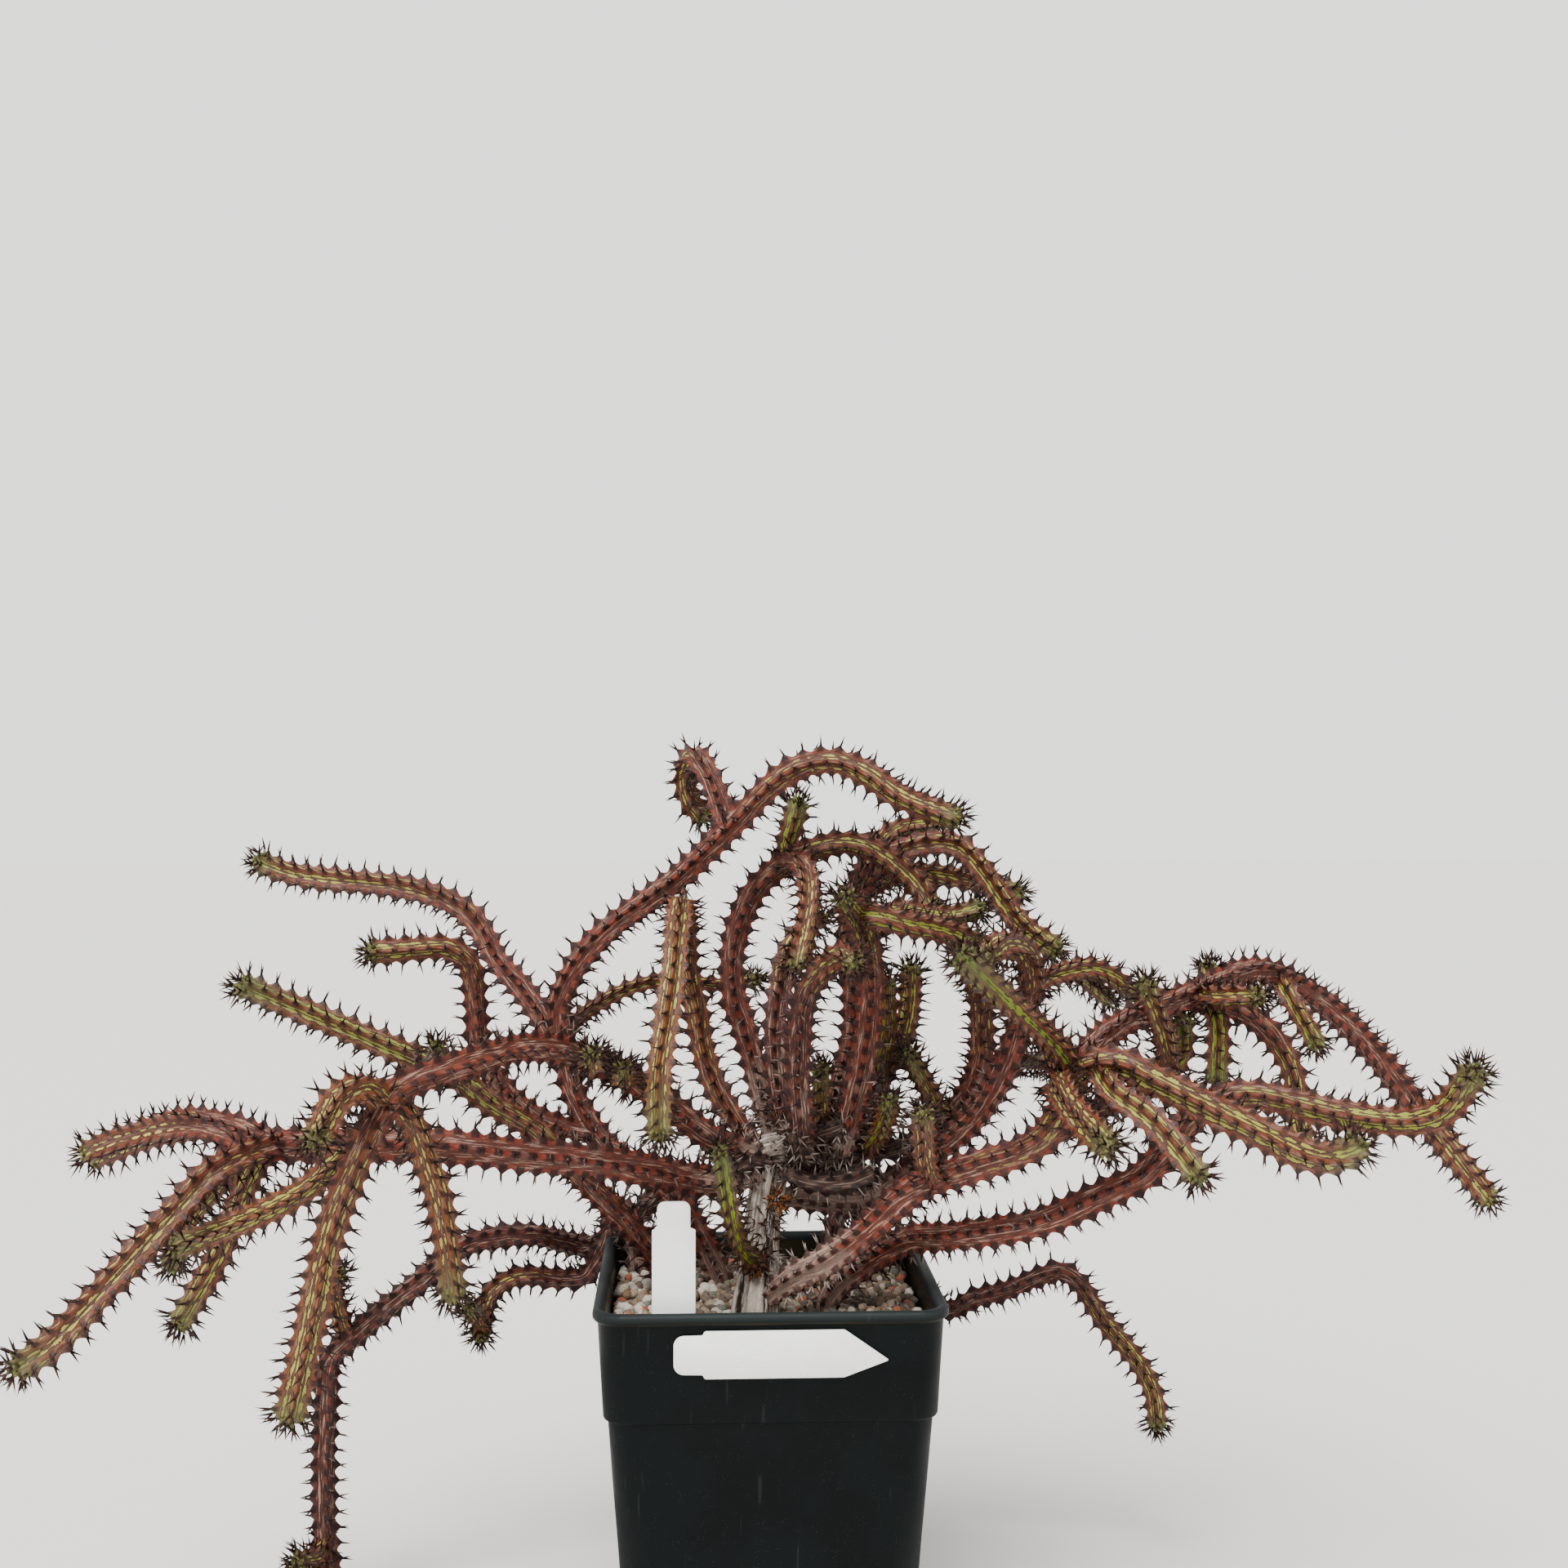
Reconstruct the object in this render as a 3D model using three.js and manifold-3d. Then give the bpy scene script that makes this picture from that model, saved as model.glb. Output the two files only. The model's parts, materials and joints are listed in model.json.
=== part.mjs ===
// A spiny, many-stemmed succulent in a square nursery pot, with two plant labels.
// Units are millimetres, +Z is up, and the origin is the middle of the pot's underside.
// The viewer's side is -Y, and +X is to the right.

import * as THREE from 'three';
import { mergeVertices } from 'three/addons/utils/BufferGeometryUtils.js';
import Module from 'manifold-3d';

const wasm = await Module();
wasm.setup();

// Pot
const POT_HEIGHT = 120;
const POT_WALL = 1.5;
const POT_FLOOR = 2;
const LIP_HALF = 55;
const LIP_HEIGHT = 3;
const COLLAR_TOP_HALF = 53.5;
const COLLAR_FOOT_HALF = 51.8;
const COLLAR_FOOT_Z = 86;
const BODY_TOP_HALF = 50.4;
const BASE_HALF = 44.5;
const RIM_CORNER = 9;
const COLLAR_CORNER = 8.4;
const BODY_CORNER = 7.5;
const BASE_CHAMFER = 12.5;
const BASE_ROUND = 0.25;
const CORNER_STEPS = 3;
const INNER_CORNER_SHARE = 0.6;
const MOUTH_STEP = 0.8;
const EDGE_SOFTENING = 0.8;
const LEDGE_SLOPE = 1;
const DRAIN_RADIUS = 4;
const DRAIN_OFFSET = 26;

// Soil and what stands in it
const FIT_GAP = 0.3;
const SOIL_SIDE_GAP = 0.7;
const SOIL_TOP = 108.3;
const GRAIN_RELIEF = 1.3;
const SOIL_CIRCLES = 8;
const ROOT_DEPTH_Z = 88;
const HOLE_PLAY = 0.7;
const HOLE_SIDES = 12;
const TRUNK_HOLE_RADIUS = 9.6;
const SLOT_PLAY = 0.8;
const SLOT_HEIGHT = 40;

// Labels
const LABEL_THICKNESS = 0.8;
const LABEL_WIDTH = 13.4;
const LABEL_HEAD_WIDTH = 10.4;
const LABEL_TOP_Z = 152.6;
const LABEL_SHOULDER_Z = 144;
const LABEL_FOOT_Z = 88;
const LABEL_X = -30;
const LABEL_Y = -46.5;
const TAG_LENGTH = 65.5;
const TAG_WIDTH = 14.8;
const TAG_HEAD_WIDTH = 12.4;
const TAG_HEAD_LENGTH = 9.2;
const TAG_POINT_LENGTH = 13.6;
const TAG_POINT_DROP = 2.4;
const TAG_LEFT_X = -29.9;
const TAG_Z = 107.3;
const LABEL_CORNER = 2;
const LABEL_SHOULDER_RISE = 0.8;
const LABEL_HEAD_TAPER = 0.4;
const CURVE_STEPS = 3;

// Trunk and crown
const LIMB_SIDES = 12;
const LIMB_STEP = 7;
const LIMB_FOLD = 0.07;
const LIMB_ROUGHNESS = 0.06;
const TRUNK_RADIUS = 5.6;
const TRUNK_SWELLING = 2.6;
const SWELLING_PLACE = 0.3;
const SWELLING_WIDTH = 0.22;
const CROWN_RADIUS = 7.6;

// Stems
const RIBS = 5;
const GROOVE_DEPTH = 0.34;
const ROOT_RADIUS = 3;
const ROOT_TAPER_LENGTH = 15;
const STATION_STEP = 17;
const TURN_PER_STATION = 0.85;
const TURN_FOR_CREST_POINT = 0.65;
const TOOTH_HALF_LENGTH = 2;
const SPINE_REACH = 6;
const TOOTH_LEAN = 0.8;
const SPINE_STEPS = [1, 0.8, 0.6, 0.4];
const SHORTEST_SPINE = 1;
const SHARPEST_BEND = 1 / 9;
const SHARP_BEND = 1 / 16;
const BEND_REACH = 3;
const TWIST_PER_MM = 0.004;
const TIP_LENGTH = 3;
const TIP_SHRINK = 0.8;
const TIP_BARE = 7;
const TIP_SPINE_REACH = 4.5;
const TIP_SPINE_LEAN = 1.8;
const BARE_ROOT = { crown: 12, soil: 27, shoot: 4 };
const STRAIGHT_ROOT = 22;
const STATION_GAP = 5;

// Room kept round a spine's point
const FLOOR_CLEARANCE = 0.6;
const POT_CLEARANCE = 1.5;
const SOIL_CLEARANCE = 1;
const LABEL_CLEARANCE = 1.5;
const LIMB_CLEARANCE = 10;
const STEM_CLEARANCE = 0.5;
const NEIGHBOUR_DISTANCE = 18;

// Finishes
const paint = (color, roughness) => new THREE.MeshStandardMaterial({ color, roughness, metalness: 0 });

// A solid from an indexed mesh, given as a flat list of numbers and a flat list of corner numbers.
function solidFrom(positions, indices) {
  const mesh = new wasm.Mesh({
    numProp: 3,
    vertProperties: new Float32Array(positions),
    triVerts: new Uint32Array(indices),
  });
  mesh.merge();
  return new wasm.Manifold(mesh);
}

// A solid from a closed three.js geometry.
function solidFromGeometry(geometry) {
  geometry.deleteAttribute('normal');
  geometry.deleteAttribute('uv');
  const merged = mergeVertices(geometry, 1e-4);
  return solidFrom(merged.attributes.position.array, merged.index.array);
}

// The largest body of a solid, as a three.js geometry. Loose scraps are dropped.
function geometryFrom(solid) {
  const bodies = solid.decompose();
  bodies.sort((a, b) => b.volume() - a.volume());
  const mesh = bodies[0].getMesh();
  const geometry = new THREE.BufferGeometry();
  geometry.setAttribute('position', new THREE.BufferAttribute(new Float32Array(mesh.vertProperties), 3));
  geometry.setIndex(new THREE.BufferAttribute(new Uint32Array(mesh.triVerts), 1));
  geometry.computeVertexNormals();
  return geometry;
}

// A repeatable number from 0 to 1 for any whole number.
function scatter(seed) {
  const wave = Math.sin(seed * 127.1 + 311.7) * 43758.5453;
  return wave - Math.floor(wave);
}

// Joins rings of equal length into a closed solid, with a fan at each end.
function loft(rings) {
  const count = rings[0].length;
  const positions = [];
  const indices = [];
  rings.forEach((ring) => ring.forEach((p) => positions.push(p.x, p.y, p.z)));
  for (let r = 0; r < rings.length - 1; r += 1) {
    for (let i = 0; i < count; i += 1) {
      const a = r * count + i;
      const b = r * count + ((i + 1) % count);
      indices.push(a, b, b + count, a, b + count, a + count);
    }
  }
  [0, rings.length - 1].forEach((r) => {
    const middle = positions.length / 3;
    const centre = rings[r].reduce((sum, p) => sum.add(p), new THREE.Vector3()).divideScalar(count);
    positions.push(centre.x, centre.y, centre.z);
    for (let i = 0; i < count; i += 1) {
      const a = r * count + i;
      const b = r * count + ((i + 1) % count);
      indices.push(...(r === 0 ? [middle, b, a] : [middle, a, b]));
    }
  });
  return solidFrom(positions, indices);
}

// An upright prism with regular sides, for holes.
function upright(x, y, lowZ, highZ, radius, sides) {
  const rings = [lowZ, highZ].map((z) => Array.from({ length: sides }, (_, i) => {
    const angle = (i * 2 * Math.PI) / sides;
    return new THREE.Vector3(x + radius * Math.cos(angle), y + radius * Math.sin(angle), z);
  }));
  return loft(rings);
}

// Pot
// One level of the pot: a square whose corners are cut back, bulged to an arc where round is 1.
function squareRing(half, cut, round, z) {
  const ring = [];
  const insideHalf = half - cut;
  for (let corner = 0; corner < 4; corner += 1) {
    for (let i = 0; i <= CORNER_STEPS; i += 1) {
      const t = i / CORNER_STEPS;
      const angle = (t * Math.PI) / 2;
      const x = insideHalf + cut * (round * Math.cos(angle) + (1 - round) * (1 - t));
      const y = insideHalf + cut * (round * Math.sin(angle) + (1 - round) * t);
      const turn = (corner * Math.PI) / 2;
      ring.push(new THREE.Vector3(
        x * Math.cos(turn) - y * Math.sin(turn),
        x * Math.sin(turn) + y * Math.cos(turn),
        z,
      ));
    }
  }
  return ring;
}

// The body's half width and its corner chamfer at a height below the collar.
function bodyAt(z) {
  const t = z / COLLAR_FOOT_Z;
  return {
    half: THREE.MathUtils.lerp(BASE_HALF, BODY_TOP_HALF, t),
    cut: THREE.MathUtils.lerp(BASE_CHAMFER, BODY_CORNER, t),
    round: THREE.MathUtils.lerp(BASE_ROUND, 1, t),
  };
}

// One level of the pot's inner face, drawn in by a gap.
function potInside(z, gap) {
  const inset = POT_WALL + gap;
  const cornerInset = INNER_CORNER_SHARE * inset;
  if (z < COLLAR_FOOT_Z) {
    const body = bodyAt(z);
    return squareRing(body.half - inset, body.cut - cornerInset, body.round, z);
  }
  const t = (z - COLLAR_FOOT_Z) / (POT_HEIGHT - COLLAR_FOOT_Z);
  const half = THREE.MathUtils.lerp(BODY_TOP_HALF, COLLAR_TOP_HALF - MOUTH_STEP, t);
  return squareRing(half - inset, BODY_CORNER - cornerInset, 1, z);
}

function buildPot() {
  const lipFootZ = POT_HEIGHT - LIP_HEIGHT;
  const middle = bodyAt(COLLAR_FOOT_Z / 2);
  const foot = bodyAt(0);
  const top = bodyAt(COLLAR_FOOT_Z);
  const outer = [
    squareRing(foot.half, foot.cut, foot.round, 0),
    squareRing(middle.half, middle.cut, middle.round, COLLAR_FOOT_Z / 2),
    squareRing(top.half, top.cut, top.round, COLLAR_FOOT_Z - LEDGE_SLOPE / 2),
    squareRing(COLLAR_FOOT_HALF, COLLAR_CORNER, 1, COLLAR_FOOT_Z + LEDGE_SLOPE / 2),
    squareRing(COLLAR_TOP_HALF, COLLAR_CORNER, 1, lipFootZ - LEDGE_SLOPE),
    squareRing(LIP_HALF, RIM_CORNER, 1, lipFootZ),
    squareRing(LIP_HALF, RIM_CORNER, 1, POT_HEIGHT - EDGE_SOFTENING),
    squareRing(LIP_HALF - EDGE_SOFTENING, COLLAR_CORNER, 1, POT_HEIGHT),
  ];
  const inner = [POT_HEIGHT, COLLAR_FOOT_Z, COLLAR_FOOT_Z / 2, POT_FLOOR].map((z) => potInside(z, 0));
  let pot = loft([...outer, ...inner]);
  [-1, 1].forEach((sideX) => [-1, 1].forEach((sideY) => {
    const drain = upright(sideX * DRAIN_OFFSET, sideY * DRAIN_OFFSET, -1, POT_FLOOR + 1, DRAIN_RADIUS, 8);
    pot = pot.subtract(drain);
  }));
  return pot;
}

// Labels
// A flat strip with a narrower, rounded head, drawn upright with its foot at zero.
function stripShape(width, headWidth, shoulder, top, foot = 0, drop = 0) {
  const shape = new THREE.Shape();
  const headLow = headWidth / 2;
  const headTop = headLow - LABEL_HEAD_TAPER;
  const neck = shoulder + LABEL_SHOULDER_RISE;
  shape.moveTo(-width / 2, 0);
  if (foot > 0) {
    shape.lineTo(-drop, -foot);
  }
  shape.lineTo(width / 2, 0);
  shape.lineTo(width / 2, shoulder);
  shape.lineTo(headLow, neck);
  shape.lineTo(headTop, top - LABEL_CORNER);
  shape.quadraticCurveTo(headTop, top, headTop - LABEL_CORNER, top);
  shape.lineTo(LABEL_CORNER - headTop, top);
  shape.quadraticCurveTo(-headTop, top, -headTop, top - LABEL_CORNER);
  shape.lineTo(-headLow, neck);
  shape.lineTo(-width / 2, shoulder);
  shape.closePath();
  const settings = { depth: LABEL_THICKNESS, bevelEnabled: false, curveSegments: CURVE_STEPS };
  return new THREE.ExtrudeGeometry(shape, settings);
}

function buildUprightLabel() {
  const shoulder = LABEL_SHOULDER_Z - LABEL_FOOT_Z;
  const geometry = stripShape(LABEL_WIDTH, LABEL_HEAD_WIDTH, shoulder, LABEL_TOP_Z - LABEL_FOOT_Z);
  geometry.rotateX(Math.PI / 2);
  geometry.translate(LABEL_X, LABEL_Y + LABEL_THICKNESS / 2, LABEL_FOOT_Z);
  return solidFromGeometry(geometry);
}

// The tag lies on the front of the collar, which leans out a little towards the lip.
const collarRise = POT_HEIGHT - LIP_HEIGHT - COLLAR_FOOT_Z - LEDGE_SLOPE;
const collarLean = Math.atan((COLLAR_TOP_HALF - COLLAR_FOOT_HALF) / collarRise);

function buildFrontTag() {
  const body = TAG_LENGTH - TAG_POINT_LENGTH;
  const shoulder = body - TAG_HEAD_LENGTH;
  const geometry = stripShape(TAG_WIDTH, TAG_HEAD_WIDTH, shoulder, body, TAG_POINT_LENGTH, TAG_POINT_DROP);
  geometry.rotateX(Math.PI / 2);
  geometry.rotateY(-Math.PI / 2);
  geometry.translate(body, 0, 0);
  geometry.rotateX(collarLean);
  const rise = TAG_Z - COLLAR_FOOT_Z;
  const faceY = -(COLLAR_FOOT_HALF + rise * Math.tan(collarLean));
  geometry.translate(TAG_LEFT_X, faceY - FIT_GAP, TAG_Z);
  return solidFromGeometry(geometry);
}

// Stem routes
// Each route is the middle line of a stem, from its root to its tip, in whole millimetres.
// The first route of a plant piece is its main stem, and the others are its side shoots.
const fromSoil = (x, y, z = 111) => [[x, y, ROOT_DEPTH_Z], [x, y, z]];

const plant = {
  stem_left_reach: {
    root: 'crown',
    color: 0x7d4a35,
    shoots: [
      [5.2, [[0, -14, 154], [-19, -26, 155], [-38, -38, 161], [-57, -48, 166], [-75, -55, 169],
        [-101, -62, 173], [-134, -66, 174], [-148, -68, 175], [-162, -60, 178], [-176, -50, 178],
        [-199, -36, 171], [-213, -30, 165]]],
      [4.2, [[-146, -68, 175], [-153, -78, 174], [-161, -88, 170], [-168, -95, 162],
        [-182, -104, 146], [-198, -109, 129], [-208, -110, 122]]],
      [3.8, [[-148, -68, 175], [-154, -64, 166], [-159, -60, 155], [-165, -56, 141], [-178, -55, 118]]],
      [3.4, [[-154, -64, 175], [-162, -56, 166], [-171, -48, 156], [-178, -43, 147], [-185, -38, 131]]],
    ],
  },
  stem_front_arch: {
    root: 'crown',
    color: 0x84482f,
    shoots: [
      [4.4, [[-1, -16, 160], [-19, -26, 169], [-31, -31, 179], [-41, -36, 187], [-51, -46, 194],
        [-63, -60, 201], [-74, -74, 204], [-84, -88, 203], [-94, -98, 201], [-105, -105, 197],
        [-111, -110, 189], [-115, -112, 180], [-122, -112, 162], [-127, -108, 141], [-136, -100, 104]]],
      [4.2, [[-109, -108, 194], [-113, -117, 199], [-118, -128, 197], [-120, -136, 192], [-121, -144, 189]]],
      [3.9, [[-107, -106, 195], [-102, -100, 186], [-99, -96, 175], [-96, -94, 165], [-92, -90, 134]]],
      [3.8, [[-113, -110, 186], [-122, -103, 177], [-132, -98, 168], [-150, -90, 158], [-174, -76, 147]]],
      [3.4, [[-53, -49, 195], [-54, -62, 197], [-54, -72, 202]]],
      [3.4, [[-44, -40, 190], [-45, -54, 191], [-45, -64, 197]]],
    ],
  },
  stem_left_high: {
    root: 'soil',
    color: 0x7b4632,
    shoots: [
      [4.3, [...fromSoil(-15, 22), [-19, 21, 121], [-33, 18, 143], [-43, 17, 150], [-55, 16, 160],
        [-64, 14, 175], [-68, 12, 194], [-69, 10, 206], [-66, 8, 214], [-60, 6, 224], [-51, 5, 233],
        [-28, 4, 250], [-11, -2, 267], [4, -6, 282], [13, -8, 287], [23, -10, 288], [33, -12, 284],
        [43, -14, 277], [63, -18, 269]]],
      [4.1, [[-68, 13, 190], [-72, 15, 197], [-82, 24, 210], [-91, 30, 219], [-100, 36, 233],
        [-108, 38, 239], [-123, 40, 244], [-163, 42, 249], [-177, 42, 254]]],
      [3.9, [[-58, 16, 163], [-69, 12, 166], [-80, 8, 172], [-90, 4, 184], [-95, 2, 195],
        [-96, 0, 210], [-98, -2, 222], [-104, -5, 227], [-116, -8, 227], [-130, -10, 226]]],
      [2.6, [[-68, 12, 197], [-59, 28, 203], [-49, 36, 208], [-36, 42, 211], [-11, 48, 209], [0, 50, 211]]],
      [3.9, [[-12, -2, 265], [-15, 3, 274], [-19, 7, 284], [-24, 16, 290], [-27, 25, 284],
        [-25, 28, 275], [-19, 30, 268]]],
    ],
  },
  stem_left_green: {
    root: 'soil',
    color: 0x7a5232,
    shoots: [
      [4, [...fromSoil(-33, 10), [-37, 9, 123], [-46, 4, 135], [-65, -8, 157], [-75, -14, 169],
        [-89, -20, 179], [-100, -24, 188], [-126, -30, 201], [-165, -36, 219]]],
      [3.4, [[-102, -25, 189], [-103, -36, 194], [-103, -46, 201]]],
    ],
  },
  stem_low_left_long: {
    root: 'soil',
    color: 0x74402c,
    shoots: [
      [4.1, [...fromSoil(-22, 40), [-24, 45, 124], [-29, 56, 133], [-38, 70, 128], [-47, 77, 118],
        [-56, 79, 110], [-65, 77, 110], [-82, 60, 118], [-95, 56, 118], [-105, 52, 116],
        [-122, 44, 104], [-142, 36, 89], [-149, 33, 82], [-150, 30, 70], [-150, 26, 33],
        [-148, 22, 17], [-144, 11, 7], [-141, -10, 6]]],
      [3.3, [[-144, 36, 89], [-146, 32, 99], [-147, 28, 108], [-144, 24, 116]]],
      [3.4, [[-149, 24, 22], [-151, 15, 21], [-155, 4, 24]]],
    ],
  },
  stem_low_left_short: {
    root: 'soil',
    color: 0x6d3c2b,
    shoots: [
      [3.6, [...fromSoil(-43, 36), [-45, 44, 122], [-49, 54, 129], [-54, 62, 121], [-58, 67, 109],
        [-64, 68, 101], [-74, 66, 101], [-83, 62, 103], [-91, 59, 102], [-97, 56, 97], [-100, 52, 82]]],
      [3.2, [[-99, 53, 87], [-101, 46, 93], [-103, 38, 98]]],
    ],
  },
  stem_low_right: {
    root: 'soil',
    color: 0x6e3b2d,
    shoots: [
      [3.4, [...fromSoil(24, 42), [26, 46, 122], [31, 56, 128], [41, 66, 118], [54, 71, 100],
        [70, 72, 86], [80, 68, 91], [91, 64, 95], [103, 60, 101], [110, 58, 103], [116, 57, 99],
        [124, 55, 87], [137, 53, 71], [142, 52, 61], [144, 52, 47]]],
    ],
  },
  stem_front_low: {
    root: 'soil',
    color: 0x7c4230,
    shoots: [
      [4.6, [...fromSoil(20, -12), [24, -13, 118], [31, -16, 124], [45, -26, 135], [58, -38, 139],
        [82, -52, 146], [103, -59, 157], [112, -61, 162], [120, -60, 170], [126, -58, 177],
        [134, -58, 183], [145, -60, 186], [169, -70, 182], [181, -76, 181], [189, -82, 182],
        [195, -88, 186], [200, -99, 200]]],
    ],
  },
  stem_front_mid: {
    root: 'crown',
    color: 0x83523a,
    shoots: [
      [5, [[-1, -20, 115], [6, -26, 122], [19, -34, 131], [29, -40, 140], [44, -50, 156],
        [62, -60, 165], [72, -64, 169], [81, -68, 175], [86, -70, 183], [88, -71, 191],
        [93, -74, 197], [102, -78, 198], [111, -82, 194], [134, -88, 183], [156, -88, 173],
        [166, -86, 173], [172, -84, 176]]],
      [4, [[90, -72, 195], [79, -84, 207], [62, -104, 222], [48, -118, 235]]],
      [4.4, [[88, -71, 194], [98, -58, 201], [109, -46, 206], [133, -32, 213], [146, -24, 217],
        [154, -18, 219], [163, -12, 219], [174, -6, 215], [192, 2, 204], [208, 8, 189],
        [227, 13, 166], [251, 14, 136]]],
      [3.5, [[138, -29, 214], [140, -42, 214], [145, -50, 215], [151, -56, 216]]],
      [3.7, [[133, -32, 213], [151, -32, 208], [158, -32, 203], [163, -32, 197], [167, -32, 189],
        [169, -30, 179], [172, -28, 165]]],
      [3.3, [[170, -8, 216], [171, -16, 211], [177, -18, 200], [180, -18, 194]]],
      [3, [[144, -25, 216], [143, -22, 219], [143, -20, 223]]],
      [3.5, [[139, -32, 212], [142, -34, 206], [142, -34, 185]]],
      [4, [[95, -74, 198], [98, -84, 191], [105, -92, 186], [110, -97, 181], [119, -105, 169]]],
      [4.4, [[87, -71, 190], [82, -84, 194], [82, -102, 190], [85, -116, 186], [88, -128, 183]]],
      [3.3, [[50, -53, 159], [46, -62, 168], [44, -72, 185]]],
      [3.6, [[83, -69, 178], [94, -60, 180], [105, -50, 182], [116, -46, 186], [122, -50, 194],
        [120, -56, 203], [115, -64, 213], [110, -70, 222]]],
      [3.2, [[117, -46, 187], [128, -34, 190], [132, -30, 196], [131, -34, 208]]],
      [2.7, [[87, -70, 192], [88, -44, 194], [87, -8, 189], [83, 6, 187], [77, 14, 185]]],
    ],
  },
  stem_right_rise: {
    root: 'crown',
    color: 0x7a4632,
    shoots: [
      [4.4, [[2, -12, 146], [11, -6, 145], [22, -2, 143], [33, 0, 143], [42, 0, 148], [55, -4, 158],
        [68, -14, 172], [76, -24, 189], [80, -26, 202], [84, -28, 217], [80, -36, 228],
        [71, -48, 231], [64, -58, 227]]],
      [4.2, [[47, -2, 152], [56, 6, 163], [66, 4, 175], [71, -2, 188], [71, -6, 202], [69, -10, 215],
        [63, -18, 226]]],
      [3.2, [[61, 5, 169], [56, -4, 175], [51, -10, 184], [45, -16, 194]]],
      [3.5, [[83, -28, 214], [89, -14, 216], [98, -6, 218], [109, 0, 219], [117, 4, 216], [127, 8, 208]]],
      [3, [[102, -3, 218], [109, 6, 214], [119, 16, 206]]],
    ],
  },
  stem_fold: {
    root: 'crown',
    color: 0x8a5c36,
    shoots: [
      [3.9, [[-2, -10, 161], [-14, -6, 176], [-20, -3, 190], [-23, -2, 205], [-26, -4, 220],
        [-27, -12, 236], [-28, -24, 243], [-29, -36, 236], [-30, -46, 224], [-32, -54, 209],
        [-34, -60, 194], [-34, -62, 174]]],
    ],
  },
  stem_centre_tall: {
    root: 'crown',
    color: 0x7a4a38,
    shoots: [
      [4.3, [[3, -4, 160], [0, 4, 174], [-7, 8, 199], [-10, 10, 208], [-11, 12, 221], [-8, 14, 235],
        [-3, 14, 245], [7, 14, 254], [17, 12, 259], [28, 10, 261], [36, 8, 259], [50, 4, 248],
        [57, 0, 236]]],
      [3.8, [[6, 14, 253], [8, 14, 261], [12, 16, 276]]],
      [3.7, [[7, 14, 254], [12, 0, 254], [14, -10, 247], [13, -18, 238], [9, -30, 222]]],
    ],
  },
  stem_centre_a: {
    root: 'crown',
    color: 0x77402f,
    shoots: [
      [4, [[9, -10, 162], [5, -14, 177], [3, -10, 202], [5, -5, 213], [7, -2, 223], [12, 2, 231],
        [20, 6, 237]]],
    ],
  },
  stem_centre_b: {
    root: 'crown',
    color: 0x6b4230,
    shoots: [
      [4, [[12, -18, 161], [10, -35, 178], [9, -38, 190], [10, -48, 214], [14, -54, 223],
        [20, -62, 229], [24, -74, 228]]],
    ],
  },
  stem_centre_c: {
    root: 'crown',
    color: 0x7c4430,
    shoots: [
      [4.3, [[20, -8, 162], [24, 2, 176], [30, 7, 197], [30, 9, 214], [29, 10, 226], [30, 14, 238],
        [34, 20, 248], [43, 26, 255], [50, 28, 258], [59, 28, 260], [67, 28, 259], [73, 27, 254],
        [83, 25, 240], [89, 24, 232], [103, 24, 222]]],
      [3.7, [[34, 20, 248], [39, 30, 257], [46, 36, 264], [63, 44, 267]]],
      [3.7, [[31, 15, 241], [39, 28, 245], [47, 38, 248], [58, 44, 249], [75, 46, 246], [94, 46, 241]]],
    ],
  },
  stem_centre_d: {
    root: 'crown',
    color: 0x7c452f,
    shoots: [
      [4.4, [[24, -16, 161], [27, -25, 178], [30, -27, 192], [32, -32, 219], [30, -38, 232],
        [26, -46, 241], [21, -60, 247]]],
      [4, [[27, -46, 240], [33, -48, 240], [40, -46, 238], [53, -38, 235], [69, -28, 229]]],
      [3.4, [[31, -36, 228], [34, -26, 236], [41, -21, 240], [58, -20, 238], [70, -20, 241]]],
    ],
  },
  stem_centre_e: {
    root: 'crown',
    color: 0x74492f,
    shoots: [
      [3.9, [[29, -6, 161], [36, 8, 173], [41, 14, 182], [47, 18, 192], [50, 20, 203], [51, 20, 219]]],
      [3.3, [[40, 12, 180], [40, 6, 190], [41, 2, 201], [40, -2, 217]]],
    ],
  },
  shoot_crown_front: {
    root: 'crown',
    color: 0x5f4a2c,
    shoots: [[3.2, [[32, -12, 160], [36, -28, 172], [37, -42, 183]]]],
  },
  shoot_crown_up: {
    root: 'crown',
    color: 0x9a6a3c,
    shoots: [[3, [[18, -13, 162], [17, -20, 176], [17, -23, 191]]]],
  },
  shoot_trunk: {
    root: 'crown',
    color: 0x6f7f2c,
    shoots: [[3, [[-2, -20, 126], [-9, -34, 135], [-12, -44, 147], [-16, -54, 171]]]],
  },
};

// Trunk and crown
const trunkRoute = [[-4, -18, ROOT_DEPTH_Z], [-4, -18, 110], [-3, -17, 123], [-2, -16, 139], [1, -13, 157]];
const crownRoute = [[-7, -13, 158], [3, -12, 160], [17, -11, 159], [32, -9, 160]];

const vectors = (points) => points.map((p) => new THREE.Vector3(...p));

// A smooth line through the points, with a frame at every millimetre that doesn't twist.
function trace(points) {
  const curve = new THREE.CatmullRomCurve3(vectors(points), false, 'centripetal');
  curve.arcLengthDivisions = 400;
  const length = curve.getLength();
  const count = Math.round(length);
  const frames = curve.computeFrenetFrames(count, false);
  const places = Array.from({ length: count + 1 }, (_, i) => curve.getPointAt(i / count));
  const turns = frames.tangents.map((t, i) => (i === 0 ? 0 : t.angleTo(frames.tangents[i - 1])));
  const { tangents, normals, binormals } = frames;
  return { length, count, places, tangents, normals, binormals, turns };
}

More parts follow.
